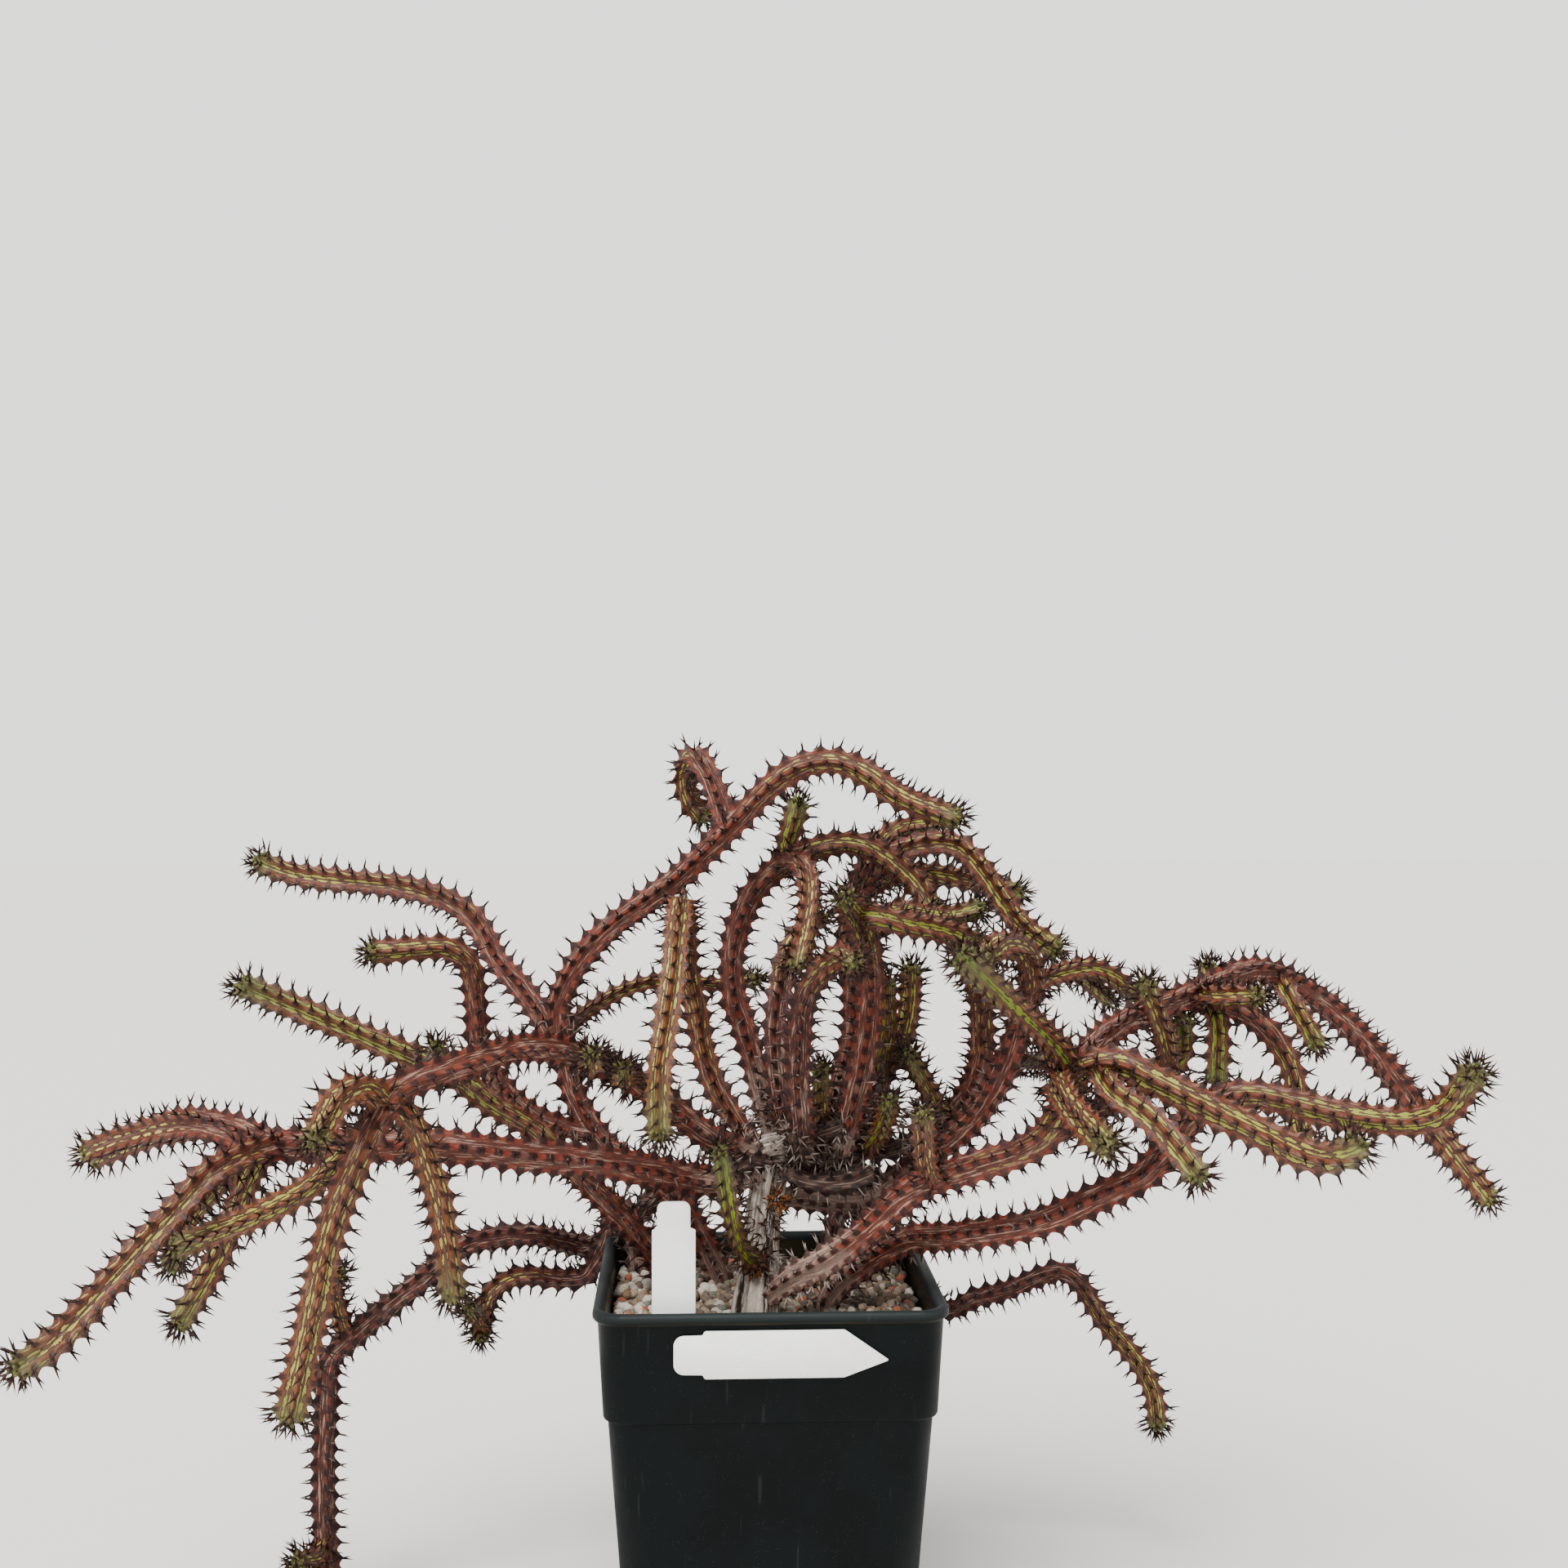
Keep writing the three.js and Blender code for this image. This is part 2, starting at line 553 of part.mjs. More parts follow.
// A woody limb: a twelve-sided tube with lengthwise folds, swollen or drawn in by a profile.
function buildLimb(points, radiusAt, extra) {
  const line = trace(points);
  const rings = [];
  const steps = Math.round(line.length / LIMB_STEP);
  for (let r = 0; r <= steps; r += 1) {
    const i = Math.round((r * line.count) / steps);
    const ring = [];
    for (let k = 0; k < LIMB_SIDES; k += 1) {
      const angle = (k * 2 * Math.PI) / LIMB_SIDES;
      const roughness = LIMB_ROUGHNESS * (scatter(r * LIMB_SIDES + k) - 0.5);
      const fold = LIMB_FOLD * Math.cos(4 * angle + 0.5 * r) + roughness;
      const radius = radiusAt(r / steps) * (1 + fold) + extra;
      ring.push(line.places[i].clone()
        .addScaledVector(line.normals[i], radius * Math.cos(angle))
        .addScaledVector(line.binormals[i], radius * Math.sin(angle)));
    }
    rings.push(ring);
  }
  return loft(rings);
}

// The trunk with its flared foot, and the knotty crown that carries most of the stems.
function buildTrunk(extra) {
  const swelling = (t) => Math.exp(-(((t - SWELLING_PLACE) / SWELLING_WIDTH) ** 2));
  const trunk = buildLimb(trunkRoute, (t) => TRUNK_RADIUS + TRUNK_SWELLING * swelling(t), extra);
  const bulge = (t) => Math.sqrt(Math.max(0.12, 1 - (2 * t - 1) ** 4));
  const crown = buildLimb(crownRoute, (t) => CROWN_RADIUS * bulge(t), extra);
  return trunk.add(crown);
}

// Stems
// How thick a stem is at a distance from its root: a little thinner where it leaves the crown.
function stemRadius(shoot, s) {
  const start = shoot.tapered ? ROOT_RADIUS : shoot.radius;
  return start + (shoot.radius - start) * Math.min(1, s / ROOT_TAPER_LENGTH);
}

// Every stem's line, for keeping the spines clear of the neighbours.
function shootOf(node, piece, order) {
  const [radius, points] = piece.shoots[order];
  const tapered = order === 0 && piece.root === 'crown';
  const bare = order === 0 ? BARE_ROOT[piece.root] : piece.shoots[0][0] + BARE_ROOT.shoot;
  const straight = order === 0 && piece.root === 'soil' ? STRAIGHT_ROOT : 0;
  return { node, radius, tapered, bare, straight, line: trace(points) };
}

const allShoots = Object.entries(plant).flatMap(
  ([node, piece]) => piece.shoots.map((_, order) => shootOf(node, piece, order)),
);

const potReach = LIP_HALF + POT_CLEARANCE;
const openHalf = COLLAR_TOP_HALF - POT_WALL - POT_CLEARANCE;
const soilReach = SOIL_TOP + GRAIN_RELIEF + SOIL_CLEARANCE;
const limbPoints = [...vectors(trunkRoute), ...vectors(crownRoute)];

// Whether a spine point keeps off the pot, the soil, the labels, the floor and every other stem.
function isClear(point, ownDistance, node) {
  if (point.z < FLOOR_CLEARANCE) {
    return false;
  }
  const out = Math.max(Math.abs(point.x), Math.abs(point.y));
  const inMouth = out < openHalf && point.z > soilReach;
  if (point.z < POT_HEIGHT + POT_CLEARANCE && out < potReach && !inMouth) {
    return false;
  }
  const offLabel = Math.abs(point.x - LABEL_X) > LABEL_WIDTH / 2 + LABEL_CLEARANCE
    || Math.abs(point.y - LABEL_Y) > LABEL_THICKNESS + LABEL_CLEARANCE
    || point.z > LABEL_TOP_Z + LABEL_CLEARANCE;
  if (!offLabel || limbPoints.some((p) => p.distanceTo(point) < LIMB_CLEARANCE)) {
    return false;
  }
  return allShoots.every((other) => other.node === node
    || other.line.places.every((p, i) => {
      const room = stemRadius(other, i) + ownDistance + STEM_CLEARANCE;
      return Math.abs(p.x - point.x) > NEIGHBOUR_DISTANCE || p.distanceTo(point) > room;
    }));
}

// The point of a stem at a distance along it, at an angle round it and a distance out from its middle.
function stemPoint(line, s, angle, out, forward = 0) {
  const at = Math.min(Math.max(s, 0), line.count - 1e-6);
  const i = Math.floor(at);
  const t = at - i;
  const place = line.places[i].clone().lerp(line.places[i + 1], t);
  const normal = line.normals[i].clone().lerp(line.normals[i + 1], t).normalize();
  const binormal = line.binormals[i].clone().lerp(line.binormals[i + 1], t).normalize();
  return place
    .addScaledVector(normal, out * Math.cos(angle))
    .addScaledVector(binormal, out * Math.sin(angle))
    .addScaledVector(line.tangents[i], forward);
}

// Distances along a stem where its grooves get a corner: closer together where the stem bends.
// A stem that stands in the soil is straight up to the soil's surface.
function stationsOf(line, straight) {
  const end = line.count - TIP_LENGTH;
  const climb = [0];
  for (let i = 1; i <= end; i += 1) {
    climb.push(climb[i - 1] + Math.max(1 / STATION_STEP, line.turns[i] / TURN_PER_STATION));
  }
  const steps = Math.max(2, Math.round(climb[climb.length - 1]));
  const stations = [0];
  for (let k = 1; k < steps; k += 1) {
    const wanted = (k * climb[climb.length - 1]) / steps;
    stations.push(climb.findIndex((value) => value >= wanted));
  }
  stations.push(end);
  return straight === 0 ? stations : [0, straight, ...stations.filter((s) => s > straight + STATION_GAP)];
}

// How sharply the stem bends towards one side, as one over the bend's radius.
function bendTowards(line, s, angle) {
  const before = line.tangents[Math.max(0, Math.round(s) - BEND_REACH)];
  const after = line.tangents[Math.min(line.count, Math.round(s) + BEND_REACH)];
  const outward = stemPoint(line, s, angle, 1).sub(stemPoint(line, s, angle, 0));
  return after.clone().sub(before).dot(outward) / (2 * BEND_REACH);
}

// The tallest spine that stands clear of everything round it, or nothing.
function spineApex(shoot, s, angle, reach, forward) {
  const { line } = shoot;
  const bend = bendTowards(line, s, angle);
  const allowed = bend > SHARPEST_BEND ? 0 : reach * (bend > SHARP_BEND ? 0.5 : 1);
  const heights = SPINE_STEPS.map((part) => part * allowed).filter((height) => height > SHORTEST_SPINE);
  const radius = stemRadius(shoot, s);
  const fitting = heights.find((height) => isClear(
    stemPoint(line, s, angle, radius + height, forward),
    height,
    shoot.node,
  ));
  return fitting ? stemPoint(line, s, angle, radius + fitting, forward) : null;
}

// One stem or shoot: five ribs with grooves between, and spine-tipped teeth raised from the crests,
// on every other rib at each station. The tip is blunt, with a ring of spines.
function buildShoot(shoot) {
  const { line } = shoot;
  const stations = stationsOf(line, shoot.straight);
  const last = stations.length - 1;
  const positions = [];
  const add = (point) => {
    positions.push(point.x, point.y, point.z);
    return positions.length / 3 - 1;
  };
  const crests = [];
  const grooves = [];
  for (let rib = 0; rib < RIBS; rib += 1) {
    const crest = [];
    const groove = [];
    stations.forEach((s, i) => {
      const angle = (rib * 2 * Math.PI) / RIBS + TWIST_PER_MM * s;
      const radius = stemRadius(shoot, s) * (i === last ? TIP_SHRINK : 1);
      const grooveAngle = angle + Math.PI / RIBS;
      groove.push({ s, id: add(stemPoint(line, s, grooveAngle, radius * (1 - GROOVE_DEPTH))) });
      const isEnd = i === 0 || i === last;
      const onStem = s > shoot.bare && s < line.count - TIP_BARE;
      const hasTooth = !isEnd && onStem && (i + rib) % 2 === 0;
      const apex = hasTooth ? spineApex(shoot, s, angle, SPINE_REACH, TOOTH_LEAN) : null;
      if (apex) {
        const low = s - TOOTH_HALF_LENGTH;
        const high = s + TOOTH_HALF_LENGTH;
        crest.push({ s: low, id: add(stemPoint(line, low, angle, stemRadius(shoot, low))) });
        crest.push({ s, id: add(apex) });
        crest.push({ s: high, id: add(stemPoint(line, high, angle, stemRadius(shoot, high))) });
      } else if (isEnd) {
        const reach = i === last ? TIP_SPINE_REACH : 0;
        const tipApex = spineApex(shoot, s - 1, angle, reach, TIP_SPINE_LEAN);
        if (tipApex) {
          const low = s - 1 - TOOTH_HALF_LENGTH;
          crest.push({ s: low, id: add(stemPoint(line, low, angle, stemRadius(shoot, low))) });
          crest.push({ s: s - 1, id: add(tipApex) });
        }
        crest.push({ s, id: add(stemPoint(line, s, angle, radius)) });
      } else if (s <= shoot.straight) {
        crest.push({ s, id: add(stemPoint(line, s, angle, radius)) });
      } else {
        const turn = line.tangents[stations[i - 1]].angleTo(line.tangents[stations[i + 1]]);
        if (turn > TURN_FOR_CREST_POINT) {
          crest.push({ s, id: add(stemPoint(line, s, angle, radius)) });
        }
      }
    });
    crests.push(crest);
    grooves.push(groove);
  }
  const indices = [];
  const joinStrip = (left, right) => {
    let i = 0;
    let j = 0;
    while (i < left.length - 1 || j < right.length - 1) {
      const stepLeft = j === right.length - 1
        || (i < left.length - 1 && left[i + 1].s <= right[j + 1].s);
      if (stepLeft) {
        indices.push(left[i].id, right[j].id, left[i + 1].id);
        i += 1;
      } else {
        indices.push(left[i].id, right[j].id, right[j + 1].id);
        j += 1;
      }
    }
  };
  const lines = crests.flatMap((crest, rib) => [crest, grooves[rib]]);
  lines.forEach((left, k) => joinStrip(left, lines[(k + 1) % lines.length]));
  const root = add(line.places[0]);
  const tip = add(stemPoint(line, line.count, 0, 0));
  lines.forEach((left, k) => {
    const right = lines[(k + 1) % lines.length];
    indices.push(root, right[0].id, left[0].id);
    indices.push(tip, left[left.length - 1].id, right[right.length - 1].id);
  });
  return solidFrom(positions, indices);
}

function buildStem(node, piece) {
  const shoots = allShoots.filter((shoot) => shoot.node === node).map(buildShoot);
  const joined = shoots.reduce((sum, solid) => sum.add(solid));
  return piece.root === 'crown' ? joined.subtract(trunkWithGap) : joined;
}

// Soil: a gritty bed that fills the pot, with a plain hole for everything that stands in it.
function buildSoil() {
  const levels = [POT_FLOOR + FIT_GAP, COLLAR_FOOT_Z / 2, COLLAR_FOOT_Z, SOIL_TOP];
  const rings = levels.map((z) => potInside(z, SOIL_SIDE_GAP));
  const rim = rings[rings.length - 1];
  for (let k = 1; k < SOIL_CIRCLES; k += 1) {
    const shrink = 1 - k / SOIL_CIRCLES;
    rings.push(rim.map((p, i) => new THREE.Vector3(
      p.x * shrink,
      p.y * shrink,
      SOIL_TOP + GRAIN_RELIEF * (2 * scatter(97 * k + i) - 1),
    )));
  }
  let soil = loft(rings);
  const bore = (x, y, radius) => {
    soil = soil.subtract(upright(x, y, ROOT_DEPTH_Z - FIT_GAP, POT_HEIGHT, radius, HOLE_SIDES));
  };
  bore(trunkRoute[0][0], trunkRoute[0][1], TRUNK_HOLE_RADIUS);
  Object.values(plant).filter((piece) => piece.root === 'soil').forEach((piece) => {
    const [radius, points] = piece.shoots[0];
    bore(points[0][0], points[0][1], radius + HOLE_PLAY);
  });
  const slot = new THREE.BoxGeometry(LABEL_WIDTH + SLOT_PLAY, LABEL_THICKNESS + SLOT_PLAY, SLOT_HEIGHT);
  slot.translate(LABEL_X, LABEL_Y, LABEL_FOOT_Z - FIT_GAP + SLOT_HEIGHT / 2);
  return soil.subtract(solidFromGeometry(slot));
}

// Putting it together
const group = new THREE.Group();
const place = (name, solid, material) => {
  const mesh = new THREE.Mesh(geometryFrom(solid), material);
  mesh.name = name;
  group.add(mesh);
};

const trunkWithGap = buildTrunk(FIT_GAP);
place('pot', buildPot(), paint(0x1e2a2b, 0.55));
place('gravel_bed', buildSoil(), paint(0xb9a68c, 0.95));
place('trunk', buildTrunk(0), paint(0x9c9288, 0.9));
place('label_upright', buildUprightLabel(), paint(0xf2f2f0, 0.45));
place('label_front', buildFrontTag(), paint(0xf2f2f0, 0.45));
Object.entries(plant).forEach(([node, piece]) => {
  place(node, buildStem(node, piece), paint(piece.color, 0.75));
});

export default group;
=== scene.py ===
import json
import math

import bpy
import numpy as np
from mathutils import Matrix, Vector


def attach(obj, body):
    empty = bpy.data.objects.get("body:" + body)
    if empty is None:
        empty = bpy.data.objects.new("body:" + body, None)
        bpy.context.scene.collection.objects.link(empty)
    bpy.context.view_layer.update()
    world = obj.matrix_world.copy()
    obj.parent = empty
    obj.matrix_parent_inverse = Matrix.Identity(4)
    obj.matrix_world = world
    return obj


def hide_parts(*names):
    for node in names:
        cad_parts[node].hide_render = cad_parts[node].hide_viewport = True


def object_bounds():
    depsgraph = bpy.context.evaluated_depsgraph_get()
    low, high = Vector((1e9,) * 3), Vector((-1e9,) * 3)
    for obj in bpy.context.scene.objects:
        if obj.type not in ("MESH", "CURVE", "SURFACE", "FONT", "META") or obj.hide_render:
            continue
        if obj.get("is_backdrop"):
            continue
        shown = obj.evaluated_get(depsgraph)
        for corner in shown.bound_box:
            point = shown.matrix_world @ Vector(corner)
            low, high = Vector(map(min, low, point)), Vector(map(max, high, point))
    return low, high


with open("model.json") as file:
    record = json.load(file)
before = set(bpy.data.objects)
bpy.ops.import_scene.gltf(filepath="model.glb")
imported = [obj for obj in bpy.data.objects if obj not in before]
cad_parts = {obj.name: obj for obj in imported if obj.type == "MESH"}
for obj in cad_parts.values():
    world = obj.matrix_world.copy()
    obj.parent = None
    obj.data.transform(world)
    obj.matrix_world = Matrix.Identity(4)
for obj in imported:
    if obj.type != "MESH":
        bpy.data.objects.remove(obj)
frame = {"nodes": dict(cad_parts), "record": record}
cad_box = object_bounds()

# The camera stands level in front of the pot, a little to its left, about 65 cm away.
# The stems fill the lower half of the square picture and the pot runs out of it below.
camera = bpy.data.objects.new("camera", bpy.data.cameras.new("camera"))
camera.data.lens = 44.8
camera.data.sensor_width = 36.0
camera.data.clip_start = 0.01
camera.data.shift_y = -0.0026
camera.location = (-0.0244, -0.6466, 0.282)
camera.rotation_euler = (math.radians(90), 0.0, -math.atan2(0.0471, 0.9989))
bpy.context.scene.collection.objects.link(camera)
bpy.context.scene.camera = camera

# A plain pale floor under the pot, with one broad soft light from above and in front, as from a
# large window, and pale walls all round.


def tint(code):
    """A colour written as six hex digits, turned into the linear values that Blender works in."""
    share = np.array([int(code[i:i + 2], 16) for i in (0, 2, 4)]) / 255.0
    linear = np.where(share <= 0.04045, share / 12.92, ((share + 0.055) / 1.055) ** 2.4)
    return (*linear.tolist(), 1.0)


def feed(tree, node, inputs):
    """Sets a shader node's inputs, by name or number, to links, numbers or colours in hex digits."""
    for key, value in inputs.items():
        if isinstance(value, bpy.types.NodeSocket):
            tree.links.new(value, node.inputs[key])
        else:
            node.inputs[key].default_value = tint(value) if isinstance(value, str) else value


def put(tree, kind, inputs=None, **settings):
    """Adds a shader node, sets its settings, and links or sets its inputs."""
    node = tree.nodes.new("ShaderNode" + kind)
    for name, value in settings.items():
        setattr(node, name, value)
    feed(tree, node, inputs or {})
    return node


def between(tree, value, low, high):
    """A number that runs from low to high as value runs from 0 to 1."""
    return put(tree, "MapRange", {0: value, 3: low, 4: high}).outputs[0]


def new_material(name):
    """An empty material with its Principled shader joined to the output."""
    material = bpy.data.materials.new(name)
    material.use_nodes = True
    tree = material.node_tree
    tree.nodes.clear()
    shader = put(tree, "BsdfPrincipled")
    put(tree, "OutputMaterial", {0: shader.outputs[0]})
    return material, tree, shader


floor = bpy.data.objects.new("floor", bpy.data.meshes.new("floor"))
floor.data.from_pydata([(-6, -6, 0), (6, -6, 0), (6, 6, 0), (-6, 6, 0)], [], [(0, 1, 2, 3)])
bpy.context.scene.collection.objects.link(floor)
material, tree, shader = new_material("pale floor")
feed(tree, shader, {"Base Color": "f3f1ee", "Roughness": 0.7})
floor.data.materials.append(material)
floor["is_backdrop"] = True

# The walls are brighter to the camera than in the light they give, as in an overexposed backdrop.
world = bpy.data.worlds.new("pale room")
bpy.context.scene.world = world
world.use_nodes = True
tree = world.node_tree
seen = put(tree, "LightPath").outputs["Is Camera Ray"]
feed(tree, tree.nodes["Background"], {"Color": "f6f4f2", "Strength": between(tree, seen, 0.8, 2.08)})

lamp = bpy.data.objects.new("window light", bpy.data.lights.new("window light", "SUN"))
lamp.data.energy = 6.0
lamp.data.angle = math.radians(45)
lamp.rotation_euler = (math.radians(38), 0.0, math.radians(-24))
bpy.context.scene.collection.objects.link(lamp)

# The pot: one thin-walled moulding of black plastic, square with round corners, with a lip, a
# straight collar and a body that tapers to a foot with cut-off corners. Its floor has four drain holes.


def make_piece(name, points, faces, material, smooth_angle=None):
    """A mesh object from an array of points in millimetres and a list of face arrays."""
    mesh = bpy.data.meshes.new(name)
    corners = np.concatenate([face_set.ravel() for face_set in faces])
    sizes = np.concatenate([np.full(len(face_set), face_set.shape[1]) for face_set in faces])
    starts = np.concatenate([[0], np.cumsum(sizes)[:-1]])
    mesh.vertices.add(len(points))
    mesh.vertices.foreach_set("co", (points / 1000).astype(np.float32).ravel())
    mesh.loops.add(len(corners))
    mesh.loops.foreach_set("vertex_index", corners.astype(np.int32))
    mesh.polygons.add(len(sizes))
    mesh.polygons.foreach_set("loop_start", starts.astype(np.int32))
    mesh.polygons.foreach_set("use_smooth", np.ones(len(sizes), dtype=bool))
    mesh.update(calc_edges=True)
    mesh.validate()
    if smooth_angle is not None:
        mesh.set_sharp_from_angle(angle=math.radians(smooth_angle))
    mesh.materials.append(material)
    piece = bpy.data.objects.new(name, mesh)
    bpy.context.scene.collection.objects.link(piece)
    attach(piece, "root")
    return piece


def tube_faces(rings, around, looped=False):
    """The four-cornered faces of rings of points, and if looped also from the last ring to the first."""
    row = np.arange(rings - 1 + looped)[:, None] * around
    next_row = (row + around) % (rings * around)
    step = np.arange(around)
    after = (step + 1) % around
    return np.stack([row + step, row + after, next_row + after, next_row + step], -1).reshape(-1, 4)


def joined(parts, face_columns=(1, 2)):
    """Parts that each hold points, faces and values per point, made one, its faces numbered on."""
    columns = list(zip(*parts))
    starts = np.cumsum([0] + [len(points) for points in columns[0]])
    for kind in face_columns:
        columns[kind] = [faces + start for faces, start in zip(columns[kind], starts)]
    return [np.concatenate(column) for column in columns]


def rounded_square(half, cut, roundness, z, steps=12):
    """Rings of a square with cut corners: each corner runs from a straight cut to a full arc."""
    half, cut, roundness, z = (np.asarray(v, dtype=float)[:, None, None] for v in (half, cut, roundness, z))
    t = np.linspace(0, 1, steps + 1)
    turn = np.arange(4)[:, None] * math.pi / 2
    bend = t * math.pi / 2
    x = half - cut + cut * (roundness * np.cos(bend) + (1 - roundness) * (1 - t))
    y = half - cut + cut * (roundness * np.sin(bend) + (1 - roundness) * t)
    place = [x * np.cos(turn) - y * np.sin(turn), x * np.sin(turn) + y * np.cos(turn)]
    place.append(np.broadcast_to(z, place[0].shape))
    return np.stack(place, -1).reshape(len(half), -1, 3)


# Each row is half the width, the corner's size, how round the corner is, and the height, in millimetres.
pot_rows = np.array([
    (44.0, 12.3, 0.25, 0.0), (44.5, 12.5, 0.25, 0.5), (45.9, 11.3, 0.43, 20.0), (47.4, 10.1, 0.62, 43.0),
    (49.0, 8.7, 0.81, 65.0), (50.3, 7.6, 0.98, 84.4), (50.6, 7.7, 1.0, 85.3), (51.5, 8.2, 1.0, 85.8),
    (51.8, 8.4, 1.0, 86.4), (52.6, 8.4, 1.0, 101.0), (53.4, 8.4, 1.0, 115.6), (53.7, 8.5, 1.0, 116.3),
    (54.5, 8.8, 1.0, 116.8), (54.9, 9.0, 1.0, 117.4), (55.0, 9.0, 1.0, 118.4), (54.7, 8.9, 1.0, 119.4),
    (54.0, 8.6, 1.0, 119.9), (53.2, 8.2, 1.0, 120.0), (52.2, 7.4, 1.0, 119.7), (51.4, 6.8, 1.0, 118.8),
    (51.1, 6.6, 1.0, 116.5), (49.1, 6.6, 1.0, 86.0), (46.0, 9.1, 0.62, 43.0), (43.2, 11.4, 0.25, 2.0),
    (43.0, 11.4, 0.25, 0.4),
])
floor_half = 43.6
floor_corner = 75.6
hole_place = 26
hole_radius = 4
hole_corners = 48


def floor_quarter(turn, z):
    """A quarter of the pot's floor: rays from the drain hole's edge out to the quarter's own edges."""
    angle = np.linspace(0, 2 * math.pi, hole_corners + 1)[:-1]
    ray = np.stack([np.cos(angle), np.sin(angle)], -1)
    diagonal = ray.sum(axis=1)
    with np.errstate(divide="ignore"):
        edge = np.where(ray > 0, floor_half - hole_place, hole_place) / np.abs(ray)
        corner = (floor_corner - 2 * hole_place) / np.maximum(diagonal, 1e-9)
    edge = edge.min(axis=1)
    edge = np.where(diagonal > 0, np.minimum(edge, corner), edge)
    out = hole_radius + (edge - hole_radius) * np.array([0, 0.5, 1])[:, None]
    flat = hole_place + out[..., None] * ray
    turned = flat @ np.array([[math.cos(turn), math.sin(turn)], [-math.sin(turn), math.cos(turn)]])
    return np.concatenate([turned, np.full(turned.shape[:2] + (1,), z)], -1)


pot_wall = rounded_square(*pot_rows.T)
pot_parts = [(pot_wall.reshape(-1, 3), tube_faces(*pot_wall.shape[:2], looped=True))]
for turn in np.arange(4) * math.pi / 2:
    sheet = np.concatenate([floor_quarter(turn, 0.35)[::-1], floor_quarter(turn, 2.0)])
    pot_parts.append((sheet.reshape(-1, 3), tube_faces(len(sheet), hole_corners, looped=True)[:, ::-1]))
pot_points, pot_faces = joined(pot_parts, face_columns=(1,))


def reckon(tree, kind, *values):
    """One arithmetic step on numbers or sockets."""
    return put(tree, "Math", dict(enumerate(values)), operation=kind).outputs[0]


def product(tree, first, second):
    """Two numbers or sockets multiplied."""
    return reckon(tree, "MULTIPLY", first, second)


def rise(tree, value, low, high):
    """A smooth step: 0 below low and 1 above high."""
    inputs = {0: value, 1: low, 2: high, 3: 0.0, 4: 1.0}
    return put(tree, "MapRange", inputs, interpolation_type="SMOOTHSTEP").outputs[0]


def noise(tree, place, scale, detail, roughness=0.5):
    """A soft random pattern between 0 and 1."""
    inputs = {"Vector": place, "Scale": scale, "Detail": detail, "Roughness": roughness}
    return put(tree, "TexNoise", inputs).outputs[0]


def weighed(tree, start, *terms):
    """A number plus the sum of the terms, each multiplied by its weight."""
    for value, weight in terms:
        start = reckon(tree, "ADD", start, product(tree, value, weight))
    return start


def wash(tree, colour, *layers):
    """Colours laid over a first one in turn. Each layer is a colour, how thickly it lies, from 0 to 1,
    and sometimes a strength by which that is multiplied."""
    for over, share, *strength in layers:
        for factor in strength:
            share = product(tree, share, factor)
        colour = put(tree, "Mix", {"Factor": share, 6: colour, 7: over}, data_type="RGBA").outputs[2]
    return colour


def coat(tree, shader, colour, roughness, reflection, height, strength, depth):
    """Joins a colour, a roughness, a reflection level and a bump, of a height map, to a shader."""
    bump = put(tree, "Bump", {"Height": height, "Strength": strength, "Distance": depth})
    feed(tree, shader, {"Base Color": colour, "Roughness": roughness, "Specular IOR Level": reflection,
                        "Normal": bump.outputs[0]})


def new_group(name, inputs, outputs):
    """An empty node group with its sockets, named with their kinds, and its two end nodes."""
    group = bpy.data.node_groups.new(name, "ShaderNodeTree")
    for side, sockets in (("INPUT", inputs), ("OUTPUT", outputs)):
        for key, kind in sockets.items():
            group.interface.new_socket(key, in_out=side, socket_type="NodeSocket" + kind)
    return group, group.nodes.new("NodeGroupInput").outputs, group.nodes.new("NodeGroupOutput")


speckle, given, found = new_group("dust and speckle", {"Position": "Vector", "Fineness": "Float"},
                                  {"Specks": "Float", "Cloud": "Float", "Grit": "Float"})
place = given["Position"]
fine = product(speckle, given["Fineness"], 1400.0)
dots = put(speckle, "TexVoronoi", {"Vector": place, "Scale": fine}).outputs["Distance"]
patches = rise(speckle, noise(speckle, place, 260.0, 2.0), 0.5, 0.62)
feed(speckle, found, {
    "Specks": product(speckle, rise(speckle, dots, 0.22, 0.08), patches),
    "Cloud": rise(speckle, noise(speckle, place, 38.0, 5.0), 0.38, 0.68),
    "Grit": noise(speckle, place, fine, 2.0),
})


def dusted(tree, fineness):
    """Places the dust group in a material, on object coordinates, and returns it with the coordinates."""
    place = put(tree, "TexCoord").outputs["Object"]
    return put(tree, "Group", {"Position": place, "Fineness": fineness}, node_tree=speckle).outputs, place


# Dull black, dusty and finely scratched, with a painted highlight along the top of the lip, and brown algae
# inside above the soil.
material, tree, shader = new_material("black pot plastic")
dust, place = dusted(tree, 1.0)
height = put(tree, "SeparateXYZ", {0: place}).outputs[2]
drawn_out = put(tree, "Mapping", {"Vector": place, "Rotation": (0.3, 0.5, 0.9), "Scale": (1, 1, 0.04)})
scratch = rise(tree, noise(tree, drawn_out.outputs[0], 420.0, 1.0), 0.70, 0.76)
outward = put(tree, "NewGeometry").outputs["Normal"]
sideways = put(tree, "VectorMath", {0: place, 1: outward}, operation="DOT_PRODUCT").outputs["Value"]
algae = product(tree, rise(tree, sideways, -0.02, -0.035), rise(tree, height, 0.085, 0.112))
colour = wash(
    tree, "020606", ("060c0c", dust["Cloud"]), ("3d4645", dust["Specks"], 0.4), ("3c4442", scratch, 0.14),
    # The grey band along the top of the lip is a painted highlight, where the light catches the rim.
    ("39403f", rise(tree, height, 0.1163, 0.1196), 0.4),
    ("2f281a", algae, weighed(tree, 0.25, (dust["Cloud"], 0.6))),
)
